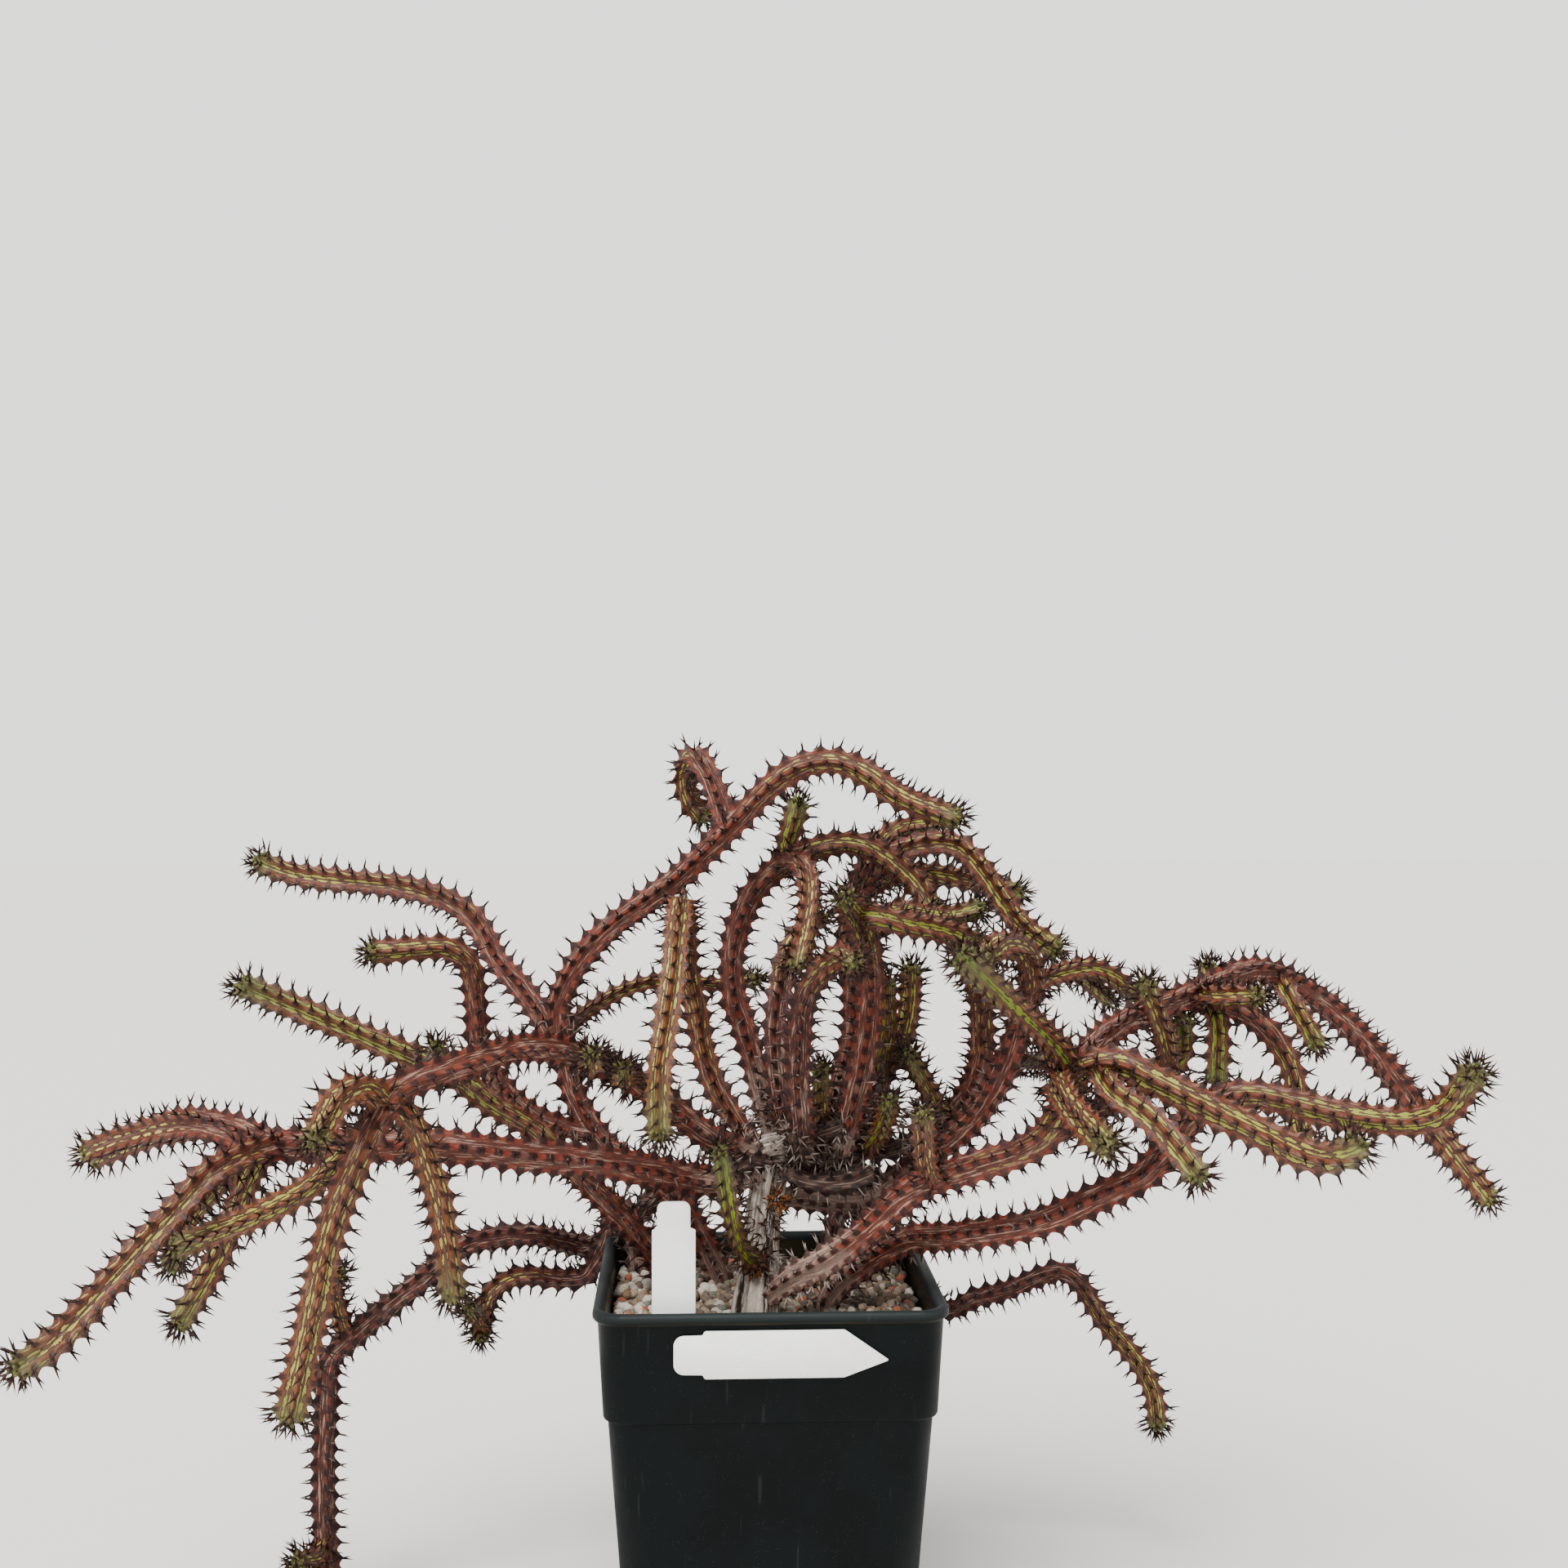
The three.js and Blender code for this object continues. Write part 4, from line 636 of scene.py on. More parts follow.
# Each row is a stem or side shoot: its radius, the length over which its skin ages from the tip,
# how green its grooves are, and the points it passes through, in millimetres. A piece's first row
# is its main stem, and the others grow from it.
plant = {
    "stem_left_reach": [
        (5.2, 85, 0.1, [(0, -14, 154), (-19, -26, 155), (-38, -38, 161), (-57, -48, 166), (-75, -55, 169),
         (-101, -62, 173), (-134, -66, 174), (-148, -68, 175), (-162, -60, 178), (-176, -50, 178),
         (-199, -36, 171), (-213, -30, 165)]),
        (4.2, 170, 0.4, [(-146, -68, 175), (-153, -78, 174), (-161, -88, 170), (-168, -95, 162),
         (-182, -104, 146), (-198, -109, 129), (-208, -110, 122)]),
        (3.8, 190, 0.5, [(-148, -68, 175), (-154, -64, 166), (-159, -60, 155), (-165, -56, 141),
         (-178, -55, 118)]),
        (3.4, 190, 0.5, [(-154, -64, 175), (-162, -56, 166), (-171, -48, 156), (-178, -43, 147),
         (-185, -38, 131)]),
    ],
    "stem_front_arch": [
        (4.4, 150, 0.4, [(-1, -16, 160), (-19, -26, 169), (-31, -31, 179), (-41, -36, 187), (-51, -46, 194),
         (-63, -60, 201), (-74, -74, 204), (-84, -88, 203), (-94, -98, 201), (-105, -105, 197),
         (-111, -110, 189), (-115, -112, 180), (-122, -112, 162), (-127, -108, 141), (-136, -100, 104)]),
        (4.2, 90, 0.3, [(-109, -108, 194), (-113, -117, 199), (-118, -128, 197), (-120, -136, 192),
         (-121, -144, 189)]),
        (3.9, 190, 0.2, [(-107, -106, 195), (-102, -100, 186), (-99, -96, 175), (-96, -94, 165),
         (-92, -90, 134)]),
        (3.8, 190, 0.5, [(-113, -110, 186), (-122, -103, 177), (-132, -98, 168), (-150, -90, 158),
         (-174, -76, 147)]),
        (3.4, 110, 0.2, [(-53, -49, 195), (-54, -62, 197), (-54, -72, 202)]),
        (3.4, 110, 0.2, [(-44, -40, 190), (-45, -54, 191), (-45, -64, 197)]),
    ],
    "stem_left_high": [
        (4.3, 120, 0.4, [(-15, 22, 88), (-15, 22, 111), (-19, 21, 121), (-33, 18, 143), (-43, 17, 150),
         (-55, 16, 160), (-64, 14, 175), (-68, 12, 194), (-69, 10, 206), (-66, 8, 214), (-60, 6, 224),
         (-51, 5, 233), (-28, 4, 250), (-11, -2, 267), (4, -6, 282), (13, -8, 287), (23, -10, 288),
         (33, -12, 284), (43, -14, 277), (63, -18, 269)]),
        (4.1, 125, 0.5, [(-68, 13, 190), (-72, 15, 197), (-82, 24, 210), (-91, 30, 219), (-100, 36, 233),
         (-108, 38, 239), (-123, 40, 244), (-163, 42, 249), (-177, 42, 254)]),
        (3.9, 70, 0.5, [(-58, 16, 163), (-69, 12, 166), (-80, 8, 172), (-90, 4, 184), (-95, 2, 195),
         (-96, 0, 210), (-98, -2, 222), (-104, -5, 227), (-116, -8, 227), (-130, -10, 226)]),
        (2.6, 130, 0.35, [(-68, 12, 197), (-59, 28, 203), (-49, 36, 208), (-36, 42, 211), (-11, 48, 209),
         (0, 50, 211)]),
        (3.9, 70, 0.3, [(-12, -2, 265), (-15, 3, 274), (-19, 7, 284), (-24, 16, 290), (-27, 25, 284),
         (-25, 28, 275), (-19, 30, 268)]),
    ],
    "stem_left_green": [
        (4, 200, 0.75, [(-33, 10, 88), (-33, 10, 111), (-37, 9, 123), (-46, 4, 135), (-65, -8, 157),
         (-75, -14, 169), (-89, -20, 179), (-100, -24, 188), (-126, -30, 201), (-165, -36, 219)]),
        (3.4, 90, 0.4, [(-102, -25, 189), (-103, -36, 194), (-103, -46, 201)]),
    ],
    "stem_low_left_long": [
        (4.1, 70, 0.2, [(-22, 40, 88), (-22, 40, 111), (-24, 45, 124), (-29, 56, 133), (-38, 70, 128),
         (-47, 77, 118), (-56, 79, 110), (-65, 77, 110), (-82, 60, 118), (-95, 56, 118), (-105, 52, 116),
         (-122, 44, 104), (-142, 36, 89), (-149, 33, 82), (-150, 30, 70), (-150, 26, 33), (-148, 22, 17),
         (-144, 11, 7), (-141, -10, 6)]),
        (3.3, 80, 0.3, [(-144, 36, 89), (-146, 32, 99), (-147, 28, 108), (-144, 24, 116)]),
        (3.4, 80, 0.3, [(-149, 24, 22), (-151, 15, 21), (-155, 4, 24)]),
    ],
    "stem_low_left_short": [
        (3.6, 70, 0.2, [(-43, 36, 88), (-43, 36, 111), (-45, 44, 122), (-49, 54, 129), (-54, 62, 121),
         (-58, 67, 109), (-64, 68, 101), (-74, 66, 101), (-83, 62, 103), (-91, 59, 102), (-97, 56, 97),
         (-100, 52, 82)]),
        (3.2, 80, 0.3, [(-99, 53, 87), (-101, 46, 93), (-103, 38, 98)]),
    ],
    "stem_low_right": [
        (3.4, 90, 0.5, [(24, 42, 88), (24, 42, 111), (26, 46, 122), (31, 56, 128), (41, 66, 118),
         (54, 71, 100), (70, 72, 86), (80, 68, 91), (91, 64, 95), (103, 60, 101), (110, 58, 103),
         (116, 57, 99), (124, 55, 87), (137, 53, 71), (142, 52, 61), (144, 52, 47)]),
    ],
    "stem_front_low": [
        (4.6, 150, 0.7, [(20, -12, 88), (20, -12, 111), (24, -13, 118), (31, -16, 124), (45, -26, 135),
         (58, -38, 139), (82, -52, 146), (103, -59, 157), (112, -61, 162), (120, -60, 170), (126, -58, 177),
         (134, -58, 183), (145, -60, 186), (169, -70, 182), (181, -76, 181), (189, -82, 182),
         (195, -88, 186), (200, -99, 200)]),
    ],
    "stem_front_mid": [
        (5, 210, 0.6, [(-1, -20, 115), (6, -26, 122), (19, -34, 131), (29, -40, 140), (44, -50, 156),
         (62, -60, 165), (72, -64, 169), (81, -68, 175), (86, -70, 183), (88, -71, 191), (93, -74, 197),
         (102, -78, 198), (111, -82, 194), (134, -88, 183), (156, -88, 173), (166, -86, 173),
         (172, -84, 176)]),
        (4, 400, 1, [(90, -72, 195), (79, -84, 207), (62, -104, 222), (48, -118, 235)]),
        (4.4, 80, 0.5, [(88, -71, 194), (98, -58, 201), (109, -46, 206), (133, -32, 213), (146, -24, 217),
         (154, -18, 219), (163, -12, 219), (174, -6, 215), (192, 2, 204), (208, 8, 189), (227, 13, 166),
         (251, 14, 136)]),
        (3.5, 90, 0.4, [(138, -29, 214), (140, -42, 214), (145, -50, 215), (151, -56, 216)]),
        (3.7, 60, 0.5, [(133, -32, 213), (151, -32, 208), (158, -32, 203), (163, -32, 197), (167, -32, 189),
         (169, -30, 179), (172, -28, 165)]),
        (3.3, 110, 0.6, [(170, -8, 216), (171, -16, 211), (177, -18, 200), (180, -18, 194)]),
        (3, 60, 0.5, [(144, -25, 216), (143, -22, 219), (143, -20, 223)]),
        (3.5, 160, 0.9, [(139, -32, 212), (142, -34, 206), (142, -34, 185)]),
        (4, 130, 0.6, [(95, -74, 198), (98, -84, 191), (105, -92, 186), (110, -97, 181), (119, -105, 169)]),
        (4.4, 150, 0.3, [(87, -71, 190), (82, -84, 194), (82, -102, 190), (85, -116, 186),
         (88, -128, 183)]),
        (3.3, 90, 0.2, [(50, -53, 159), (46, -62, 168), (44, -72, 185)]),
        (3.6, 90, 0.4, [(83, -69, 178), (94, -60, 180), (105, -50, 182), (116, -46, 186), (122, -50, 194),
         (120, -56, 203), (115, -64, 213), (110, -70, 222)]),
        (3.2, 150, 0.9, [(117, -46, 187), (128, -34, 190), (132, -30, 196), (131, -34, 208)]),
        (2.7, 150, 0.6, [(87, -70, 192), (88, -44, 194), (87, -8, 189), (83, 6, 187), (77, 14, 185)]),
    ],
    "stem_right_rise": [
        (4.4, 75, 0.3, [(2, -12, 146), (11, -6, 145), (22, -2, 143), (33, 0, 143), (42, 0, 148),
         (55, -4, 158), (68, -14, 172), (76, -24, 189), (80, -26, 202), (84, -28, 217), (80, -36, 228),
         (71, -48, 231), (64, -58, 227)]),
        (4.2, 60, 0.3, [(47, -2, 152), (56, 6, 163), (66, 4, 175), (71, -2, 188), (71, -6, 202),
         (69, -10, 215), (63, -18, 226)]),
        (3.2, 200, 0.8, [(61, 5, 169), (56, -4, 175), (51, -10, 184), (45, -16, 194)]),
        (3.5, 140, 0.6, [(83, -28, 214), (89, -14, 216), (98, -6, 218), (109, 0, 219), (117, 4, 216),
         (127, 8, 208)]),
        (3, 120, 0.5, [(102, -3, 218), (109, 6, 214), (119, 16, 206)]),
    ],
    "stem_fold": [
        (3.9, 270, 0.3, [(-2, -10, 161), (-14, -6, 176), (-20, -3, 190), (-23, -2, 205), (-26, -4, 220),
         (-27, -12, 236), (-28, -24, 243), (-29, -36, 236), (-30, -46, 224), (-32, -54, 209),
         (-34, -60, 194), (-34, -62, 174)]),
    ],
    "stem_centre_tall": [
        (4.3, 110, 0.5, [(3, -4, 160), (0, 4, 174), (-7, 8, 199), (-10, 10, 208), (-11, 12, 221),
         (-8, 14, 235), (-3, 14, 245), (7, 14, 254), (17, 12, 259), (28, 10, 261), (36, 8, 259),
         (50, 4, 248), (57, 0, 236)]),
        (3.8, 150, 0.9, [(6, 14, 253), (8, 14, 261), (12, 16, 276)]),
        (3.7, 80, 0.4, [(7, 14, 254), (12, 0, 254), (14, -10, 247), (13, -18, 238), (9, -30, 222)]),
    ],
    "stem_centre_a": [
        (4, 50, 0.4, [(9, -10, 162), (5, -14, 177), (3, -10, 202), (5, -5, 213), (7, -2, 223), (12, 2, 231),
         (20, 6, 237)]),
    ],
    "stem_centre_b": [
        (4, 50, 0.5, [(12, -18, 161), (10, -35, 178), (9, -38, 190), (10, -48, 214), (14, -54, 223),
         (20, -62, 229), (24, -74, 228)]),
    ],
    "stem_centre_c": [
        (4.3, 130, 0.5, [(20, -8, 162), (24, 2, 176), (30, 7, 197), (30, 9, 214), (29, 10, 226),
         (30, 14, 238), (34, 20, 248), (43, 26, 255), (50, 28, 258), (59, 28, 260), (67, 28, 259),
         (73, 27, 254), (83, 25, 240), (89, 24, 232), (103, 24, 222)]),
        (3.7, 120, 0.6, [(34, 20, 248), (39, 30, 257), (46, 36, 264), (63, 44, 267)]),
        (3.7, 130, 0.5, [(31, 15, 241), (39, 28, 245), (47, 38, 248), (58, 44, 249), (75, 46, 246),
         (94, 46, 241)]),
    ],
    "stem_centre_d": [
        (4.4, 60, 0.7, [(24, -16, 161), (27, -25, 178), (30, -27, 192), (32, -32, 219), (30, -38, 232),
         (26, -46, 241), (21, -60, 247)]),
        (4, 150, 0.8, [(27, -46, 240), (33, -48, 240), (40, -46, 238), (53, -38, 235), (69, -28, 229)]),
        (3.4, 130, 0.7, [(31, -36, 228), (34, -26, 236), (41, -21, 240), (58, -20, 238), (70, -20, 241)]),
    ],
    "stem_centre_e": [
        (3.9, 60, 0.6, [(29, -6, 161), (36, 8, 173), (41, 14, 182), (47, 18, 192), (50, 20, 203),
         (51, 20, 219)]),
        (3.3, 70, 0.8, [(40, 12, 180), (40, 6, 190), (41, 2, 201), (40, -2, 217)]),
    ],
    "shoot_crown_front": [
        (3.2, 110, 0.9, [(32, -12, 160), (36, -28, 172), (37, -42, 183)]),
    ],
    "shoot_crown_up": [
        (3, 200, 0.2, [(18, -13, 162), (17, -20, 176), (17, -23, 191)]),
    ],
    "shoot_trunk": [
        (3, 230, 1, [(-2, -20, 126), (-9, -34, 135), (-12, -44, 147), (-16, -54, 171)]),
    ],
}
rooted_in_soil = ("stem_left_high", "stem_left_green", "stem_low_left_long", "stem_low_left_short",
                  "stem_low_right", "stem_front_low")
# How far cork reaches up from a main stem's root, in millimetres, and how far the ribs turn there.
short_bark = 14
bark_lengths = {"stem_right_rise": 62, "stem_front_mid": 60, "stem_front_low": 50, "stem_left_high": 44,
                "stem_left_green": 40, "stem_low_left_long": 40, "stem_low_left_short": 40,
                "stem_low_right": 40, "stem_centre_tall": 34, "stem_left_reach": 30}
root_turns = {"stem_front_mid": 0.63, "stem_front_low": 0.63}

ribs = 5
tooth_steps = 6
step_length = 5.2 / tooth_steps
tooth_height = 2.1
across_rib = np.array([0, 0.055, 0.14, 0.29, 0.5, 0.71, 0.86, 0.945])
rib_shift = np.array([0, 3, 1, 4, 2])


def stem_skin(path, radius, fade, green, tapered, bark_length, turn, draw):
    """One stem or shoot. Round it, the radius falls from each of five crests to the grooves between
    them. Along each crest stand teeth, one every six steps, shifted from rib to rib: a tooth's edge
    rises as the distance to its tip, taken from one and raised to a power, so the hollows between
    the teeth are round. The end is blunt. Returns rings, their marks and grain, and the tooth tips."""
    line, ahead, _, _, along = path
    left = along[-1] - along
    points_per_rib = len(across_rib)
    rib = np.repeat(np.arange(ribs), points_per_rib)
    off = np.tile(across_rib, ribs)
    near = np.minimum(off, 1 - off) * 2
    owner = (rib + (off > 0.5)) % ribs
    number = np.arange(len(line))[:, None] + rib_shift[owner]
    phase = 1 - np.abs((number % tooth_steps) / tooth_steps * 2 - 1)
    tooth_id = (number + tooth_steps // 2) // tooth_steps
    lift = draw.uniform(0.72, 1.2, (ribs, tooth_id.max() + 2))
    age = np.minimum(left / fade, 1)
    old = np.clip((age - 0.35) / 0.4, 0, 1)[:, None]
    thick = np.full(len(line), float(radius))
    if tapered:
        thick = 3.2 + (radius - 3.2) * np.clip(along / 15, 0, 1)
    thick = thick * (1 + 0.035 * np.sin(along * 0.21 + draw.uniform(0, 6)) + 0.02 * np.sin(along * 0.53))
    blunt = np.clip((along - (along[-1] - radius)) / radius, 0, 1)
    thick = (thick * np.sqrt(1 - 0.97 * blunt ** 2.4))[:, None]
    groove = 0.36 - 0.1 * old
    body = thick * (0.93 - groove * np.sin(near * math.pi / 2) ** 1.3)
    corky = np.zeros(len(line))
    if bark_length > 0:
        corky = np.clip(1 - along / bark_length, 0, 1)
    peak = (1 - phase) ** 1.55
    slim = np.exp(-(near / 0.19) ** 2)
    edge = (1 - 0.3 * corky[:, None]) * np.clip(left / 5 + 0.3, 0, 1)[:, None]
    tooth = tooth_height * peak * slim * edge * lift[owner, tooth_id]
    angle = 2 * math.pi * (rib + off) / ribs + 0.004 * along[:, None]
    angle = angle + turn * np.exp(-along / 70)[:, None]
    surface = around_path(path, angle, body + tooth)
    surface = surface + ahead[:, None, :] * (0.45 * peak * slim * edge)[..., None]
    wear = age + 0.6 * corky
    marks = [np.broadcast_to(values, body.shape) for values in (near, phase, wear[:, None], float(green))]
    crest = np.arange(ribs) * points_per_rib
    at_tip = (number[:, crest] % tooth_steps == 0) & (along > 1.5)[:, None]
    step, which = np.nonzero(at_tip)
    tip = surface[step, crest[which]]
    tips = (tip, unit(tip - line[step]), ahead[step], wear[step], left[step])
    return surface, np.stack(marks, -1), grain_of(angle, along[:, None]), tips


def rings_round(axis, beside, corners):
    """Circles of radius one round each axis, starting square to a direction beside it."""
    first = unit(np.cross(axis, beside))
    second = np.cross(axis, first)
    turn = np.arange(corners) * 2 * math.pi / corners
    return first[:, None, :] * np.cos(turn)[:, None] + second[:, None, :] * np.sin(turn)[:, None]


def rosette(path, radius, draw):
    """The crowded small teeth round a stem's blunt end: three whorls of five, each a four-sided
    cone, set closer to the middle and leaning further forward from whorl to whorl. Returns the
    cones' points and faces, and their tips in the same form as the stem's own."""
    line, ahead, side, up = (part[-1] for part in path[:4])
    whorl = np.repeat(np.arange(3), ribs)
    count = len(whorl)
    turn = np.tile(np.arange(ribs), 3) * 2 * math.pi / ribs + whorl * math.pi / ribs
    turn = turn + draw.uniform(-0.25, 0.25, count)
    forward = np.radians(np.array([22, 48, 74]))[whorl] + draw.uniform(-0.2, 0.2, count)
    back = np.array([2.6, 1.2, 0.3])[whorl]
    reach = radius * np.array([0.86, 0.7, 0.32])[whorl]
    radial = side * np.cos(turn)[:, None] + up * np.sin(turn)[:, None]
    seat = line - ahead * back[:, None] + radial * reach[:, None]
    out = radial * np.cos(forward)[:, None] + ahead * np.sin(forward)[:, None]
    point = seat + out * draw.uniform(1.3, 2.1, (count, 1))
    foot = (seat - 0.9 * out)[:, None, :] + 0.95 * rings_round(out, ahead + 0.3 * radial, 4)
    points = np.concatenate([foot, point[:, None, :]], axis=1)
    quads = copies([(3, 2, 1, 0)], count, 5)
    threes = copies([(0, 1, 4), (1, 2, 4), (2, 3, 4), (3, 0, 4)], count, 5)
    onward = unit(np.cross(np.cross(out, ahead + 0.1 * radial), out))
    return points.reshape(-1, 3), quads, threes, (point, out, onward, np.zeros(count), back)


def spine_pairs(tips, draw):
    """Two dry spines from each tooth's tip: thin three-sided darts that lean apart across the rib
    and a little along it, each sunk slightly into the tooth. Near a stem's end they are longer."""
    tip, out, ahead, age, left = (np.repeat(part, 2, axis=0) for part in tips)
    count = len(tip)
    hand = np.tile([-1.0, 1.0], count // 2)[:, None]
    sideways = np.cross(ahead, out)
    lean = hand * draw.uniform(0.3, 0.62, (count, 1))
    drift = hand * 0.12 + draw.uniform(-0.22, 0.4, (count, 1))
    aim = unit(out + sideways * lean + ahead * drift)
    long = draw.uniform(2.8, 4.5, (count, 1)) * (1 + 0.2 * np.exp(-left / 8))[:, None]
    ring = rings_round(aim, sideways + 0.3 * out, 3)
    base = tip - 0.5 * out
    foot = base[:, None, :] + 0.44 * ring
    middle = (base + aim * long * 0.5)[:, None, :] + 0.26 * ring
    points = np.concatenate([foot, middle, (base + aim * long)[:, None, :]], axis=1)
    quads = copies([(0, 1, 4, 3), (1, 2, 5, 4), (2, 0, 3, 5)], count, 7)
    threes = copies([(3, 4, 6), (4, 5, 6), (5, 3, 6), (2, 1, 0)], count, 7)
    marks = np.zeros((count, 7, 4))
    marks[:, :, 1] = [0, 0, 0, 0.5, 0.5, 0.5, 1]
    marks[:, :, 2] = age[:, None]
    marks[:, :, 3] = draw.uniform(0, 1, (count, 1))
    return points.reshape(-1, 3), quads, threes, marks.reshape(-1, 4)


# The skin's marks are how near a point is to a groove, where it is between two teeth, its age and its
# green. Young skin has a pale striped groove with a dark edge. Old skin is plain with dark teeth and
# spots, and turns to pale cork past age 1. The dark spots round the teeth's feet are partly dark scale
# and partly painted shadow of the teeth.
skin_colours = {
    "Old rib": "732c1a", "Old groove": "582f25", "Deep": "1d0b09", "Young rib": "62301c", "Band": "54352b",
    "Edge": "2e1410", "Yellow stripe": "bfac58", "Green stripe": "7c8a2a", "Tip": "5a5e38",
    "Streak": "a98876", "Cork": "86756b",
}
skin_group, given, found = new_group("ribbed stem skin", dict.fromkeys(skin_colours, "Color"),
                                     {"Color": "Color", "Roughness": "Float", "Height": "Float"})
tree = skin_group


def read_marks(tree):
    """The four marks of a stem or spine, as sockets."""
    marks = put(tree, "Attribute", attribute_name="marks").outputs
    parts = put(tree, "SeparateColor", {0: marks["Color"]}).outputs
    return parts[0], parts[1], parts[2], marks["Alpha"]


near, phase, age, green = read_marks(tree)
strand = fibres(tree, 1.6)
blotches = strand["Blotches"]
streaks = product(tree, strand["Streaks"], 0.75)
old = wash(tree, given["Old rib"], (given["Old groove"], near), (given["Deep"], blotches, 0.6),
           (given["Streak"], streaks, rise(tree, near, 0.1, 0.5)))
# The stripe lies along a line in the groove that wanders with the skin's grain. It is as wide as its
# belly, which swells between the teeth and on green stems, and narrows with age and under blotches.
wander = reckon(tree, "SUBTRACT", strand["Skin"], 0.75)
middle = weighed(tree, 0.6, (green, 0.16), (wander, 0.5))
belly = weighed(tree, product(tree, rise(tree, phase, 0.05, 0.75), 0.16), (green, 0.15),
                (rise(tree, age, 0.2, 0.75), -0.1), (rise(tree, blotches, 0.35, 0.95), -0.13))
gap = reckon(tree, "ABSOLUTE", reckon(tree, "SUBTRACT", near, middle))
inside = reckon(tree, "SUBTRACT", belly, gap)
lime = wash(tree, given["Yellow stripe"], (given["Green stripe"], green))
young = wash(tree, given["Young rib"], (given["Band"], rise(tree, near, 0.25, 0.6)),
             (given["Streak"], streaks, 0.4), (given["Edge"], rise(tree, inside, -0.2, -0.02), 0.75),
             (lime, rise(tree, inside, 0.0, 0.05)), (given["Tip"], rise(tree, age, 0.09, 0.0), 0.7))
ageing = weighed(tree, age, (reckon(tree, "SUBTRACT", blotches, 0.5), 0.22))
tooth = product(tree, rise(tree, near, 0.4, 0.16), rise(tree, phase, 0.5, 0.22))
# spot: a dark patch round each tooth's foot on old skin, partly dark scale and partly painted shadow of the
# tooth.
spot = product(tree, rise(tree, near, 0.56, 0.3), rise(tree, phase, 0.62, 0.36))
spot = product(tree, spot, rise(tree, ageing, 0.3, 0.8))
cork = wash(tree, given["Cork"], (given["Old groove"], blotches, 0.5), (given["Streak"], strand["Streaks"]))
red_tooth = product(tree, rise(tree, near, 0.55, 0.3), rise(tree, phase, 0.75, 0.45))
colour = wash(tree, young, (old, rise(tree, ageing, 0.3, 0.75)),
              (given["Deep"], reckon(tree, "MAXIMUM", tooth, spot), 0.88),
              (cork, rise(tree, ageing, 1.0, 1.3), weighed(tree, 0.95, (red_tooth, -0.8))))
rough = put(tree, "MapRange", {0: ageing, 1: 0.2, 2: 1.1, 3: 0.46, 4: 0.74}).outputs[0]
feed(tree, found, {"Color": colour, "Roughness": rough, "Height": strand["Skin"]})


def skin_material(name, changes):
    """A stem's skin: the shared group with this stem's own colours, and fine lengthwise wrinkles."""
    material, tree, shader = new_material(name)
    skin = put(tree, "Group", {**skin_colours, **changes}, node_tree=skin_group).outputs
    coat(tree, shader, skin["Color"], skin["Roughness"], 0.3, skin["Height"], 0.7, 0.0007)
    return material


skins = {
    "stem_old": skin_material("red-brown stem skin", {}),
    "stem_golden": skin_material("golden-brown stem skin", {
        "Old rib": "702c1a", "Old groove": "552b20", "Young rib": "6c3a1c", "Band": "5c3b2c"}),
    "stem_green": skin_material("green-striped stem skin", {"Young rib": "5c3317", "Green stripe": "738236"}),
    "stem_dark": skin_material("maroon stem skin", {
        "Old rib": "5a2216", "Old groove": "40211a", "Deep": "180908"}),
    "shoot_young": skin_material("young shoot skin", {"Young rib": "6b3b19"}),
    "shoot_green": skin_material("green shoot skin", {
        "Young rib": "4a3313", "Green stripe": "74891b", "Edge": "2c1c0e"}),
}

# A spine's marks are how near a point is to its tip, its tooth's age and a random tone. Spines are
# dark brown, darker at the tip, and some are bleached on old wood.
spine, tree, shader = new_material("dry spines")
_, tipward, age, tone = read_marks(tree)
bleached = product(tree, rise(tree, age, 0.5, 1.1), rise(tree, tone, 0.35, 0.9))
colour = wash(tree, "1c1211", ("4c352c", tone), ("130d0b", rise(tree, tipward, 0.3, 1.0)),
              ("85726a", bleached, 0.8), ("8d8077", rise(tree, age, 1.02, 1.4)))
feed(tree, shader, {"Base Color": colour, "Roughness": 0.6, "Specular IOR Level": 0.15})


def spiny_piece(name, parts, tips, skin, draw):
    """One piece from the skins of its stems, with two spines on every tooth in a second material."""
    points, quads, threes, marks, grain = joined(parts)
    all_tips = [np.concatenate(part) for part in zip(*tips)]
    darts, dart_quads, dart_threes, dart_marks = spine_pairs(all_tips, draw)
    above_table = 0.4
    darts[:, 2] = np.maximum(darts[:, 2], above_table)
    faces = [quads, threes, dart_quads + len(points), dart_threes + len(points)]
    piece = make_piece(name, np.concatenate([points, darts]), faces, skin)
    piece.data.materials.append(spine)
    which = np.zeros(len(piece.data.polygons), dtype=np.int32)
    which[len(quads) + len(threes):] = 1
    piece.data.polygons.foreach_set("material_index", which)
    give(piece, "marks", "FLOAT_COLOR", np.concatenate([marks, dart_marks]))
    give(piece, "grain", "FLOAT_VECTOR", np.concatenate([grain, darts]))
    return piece


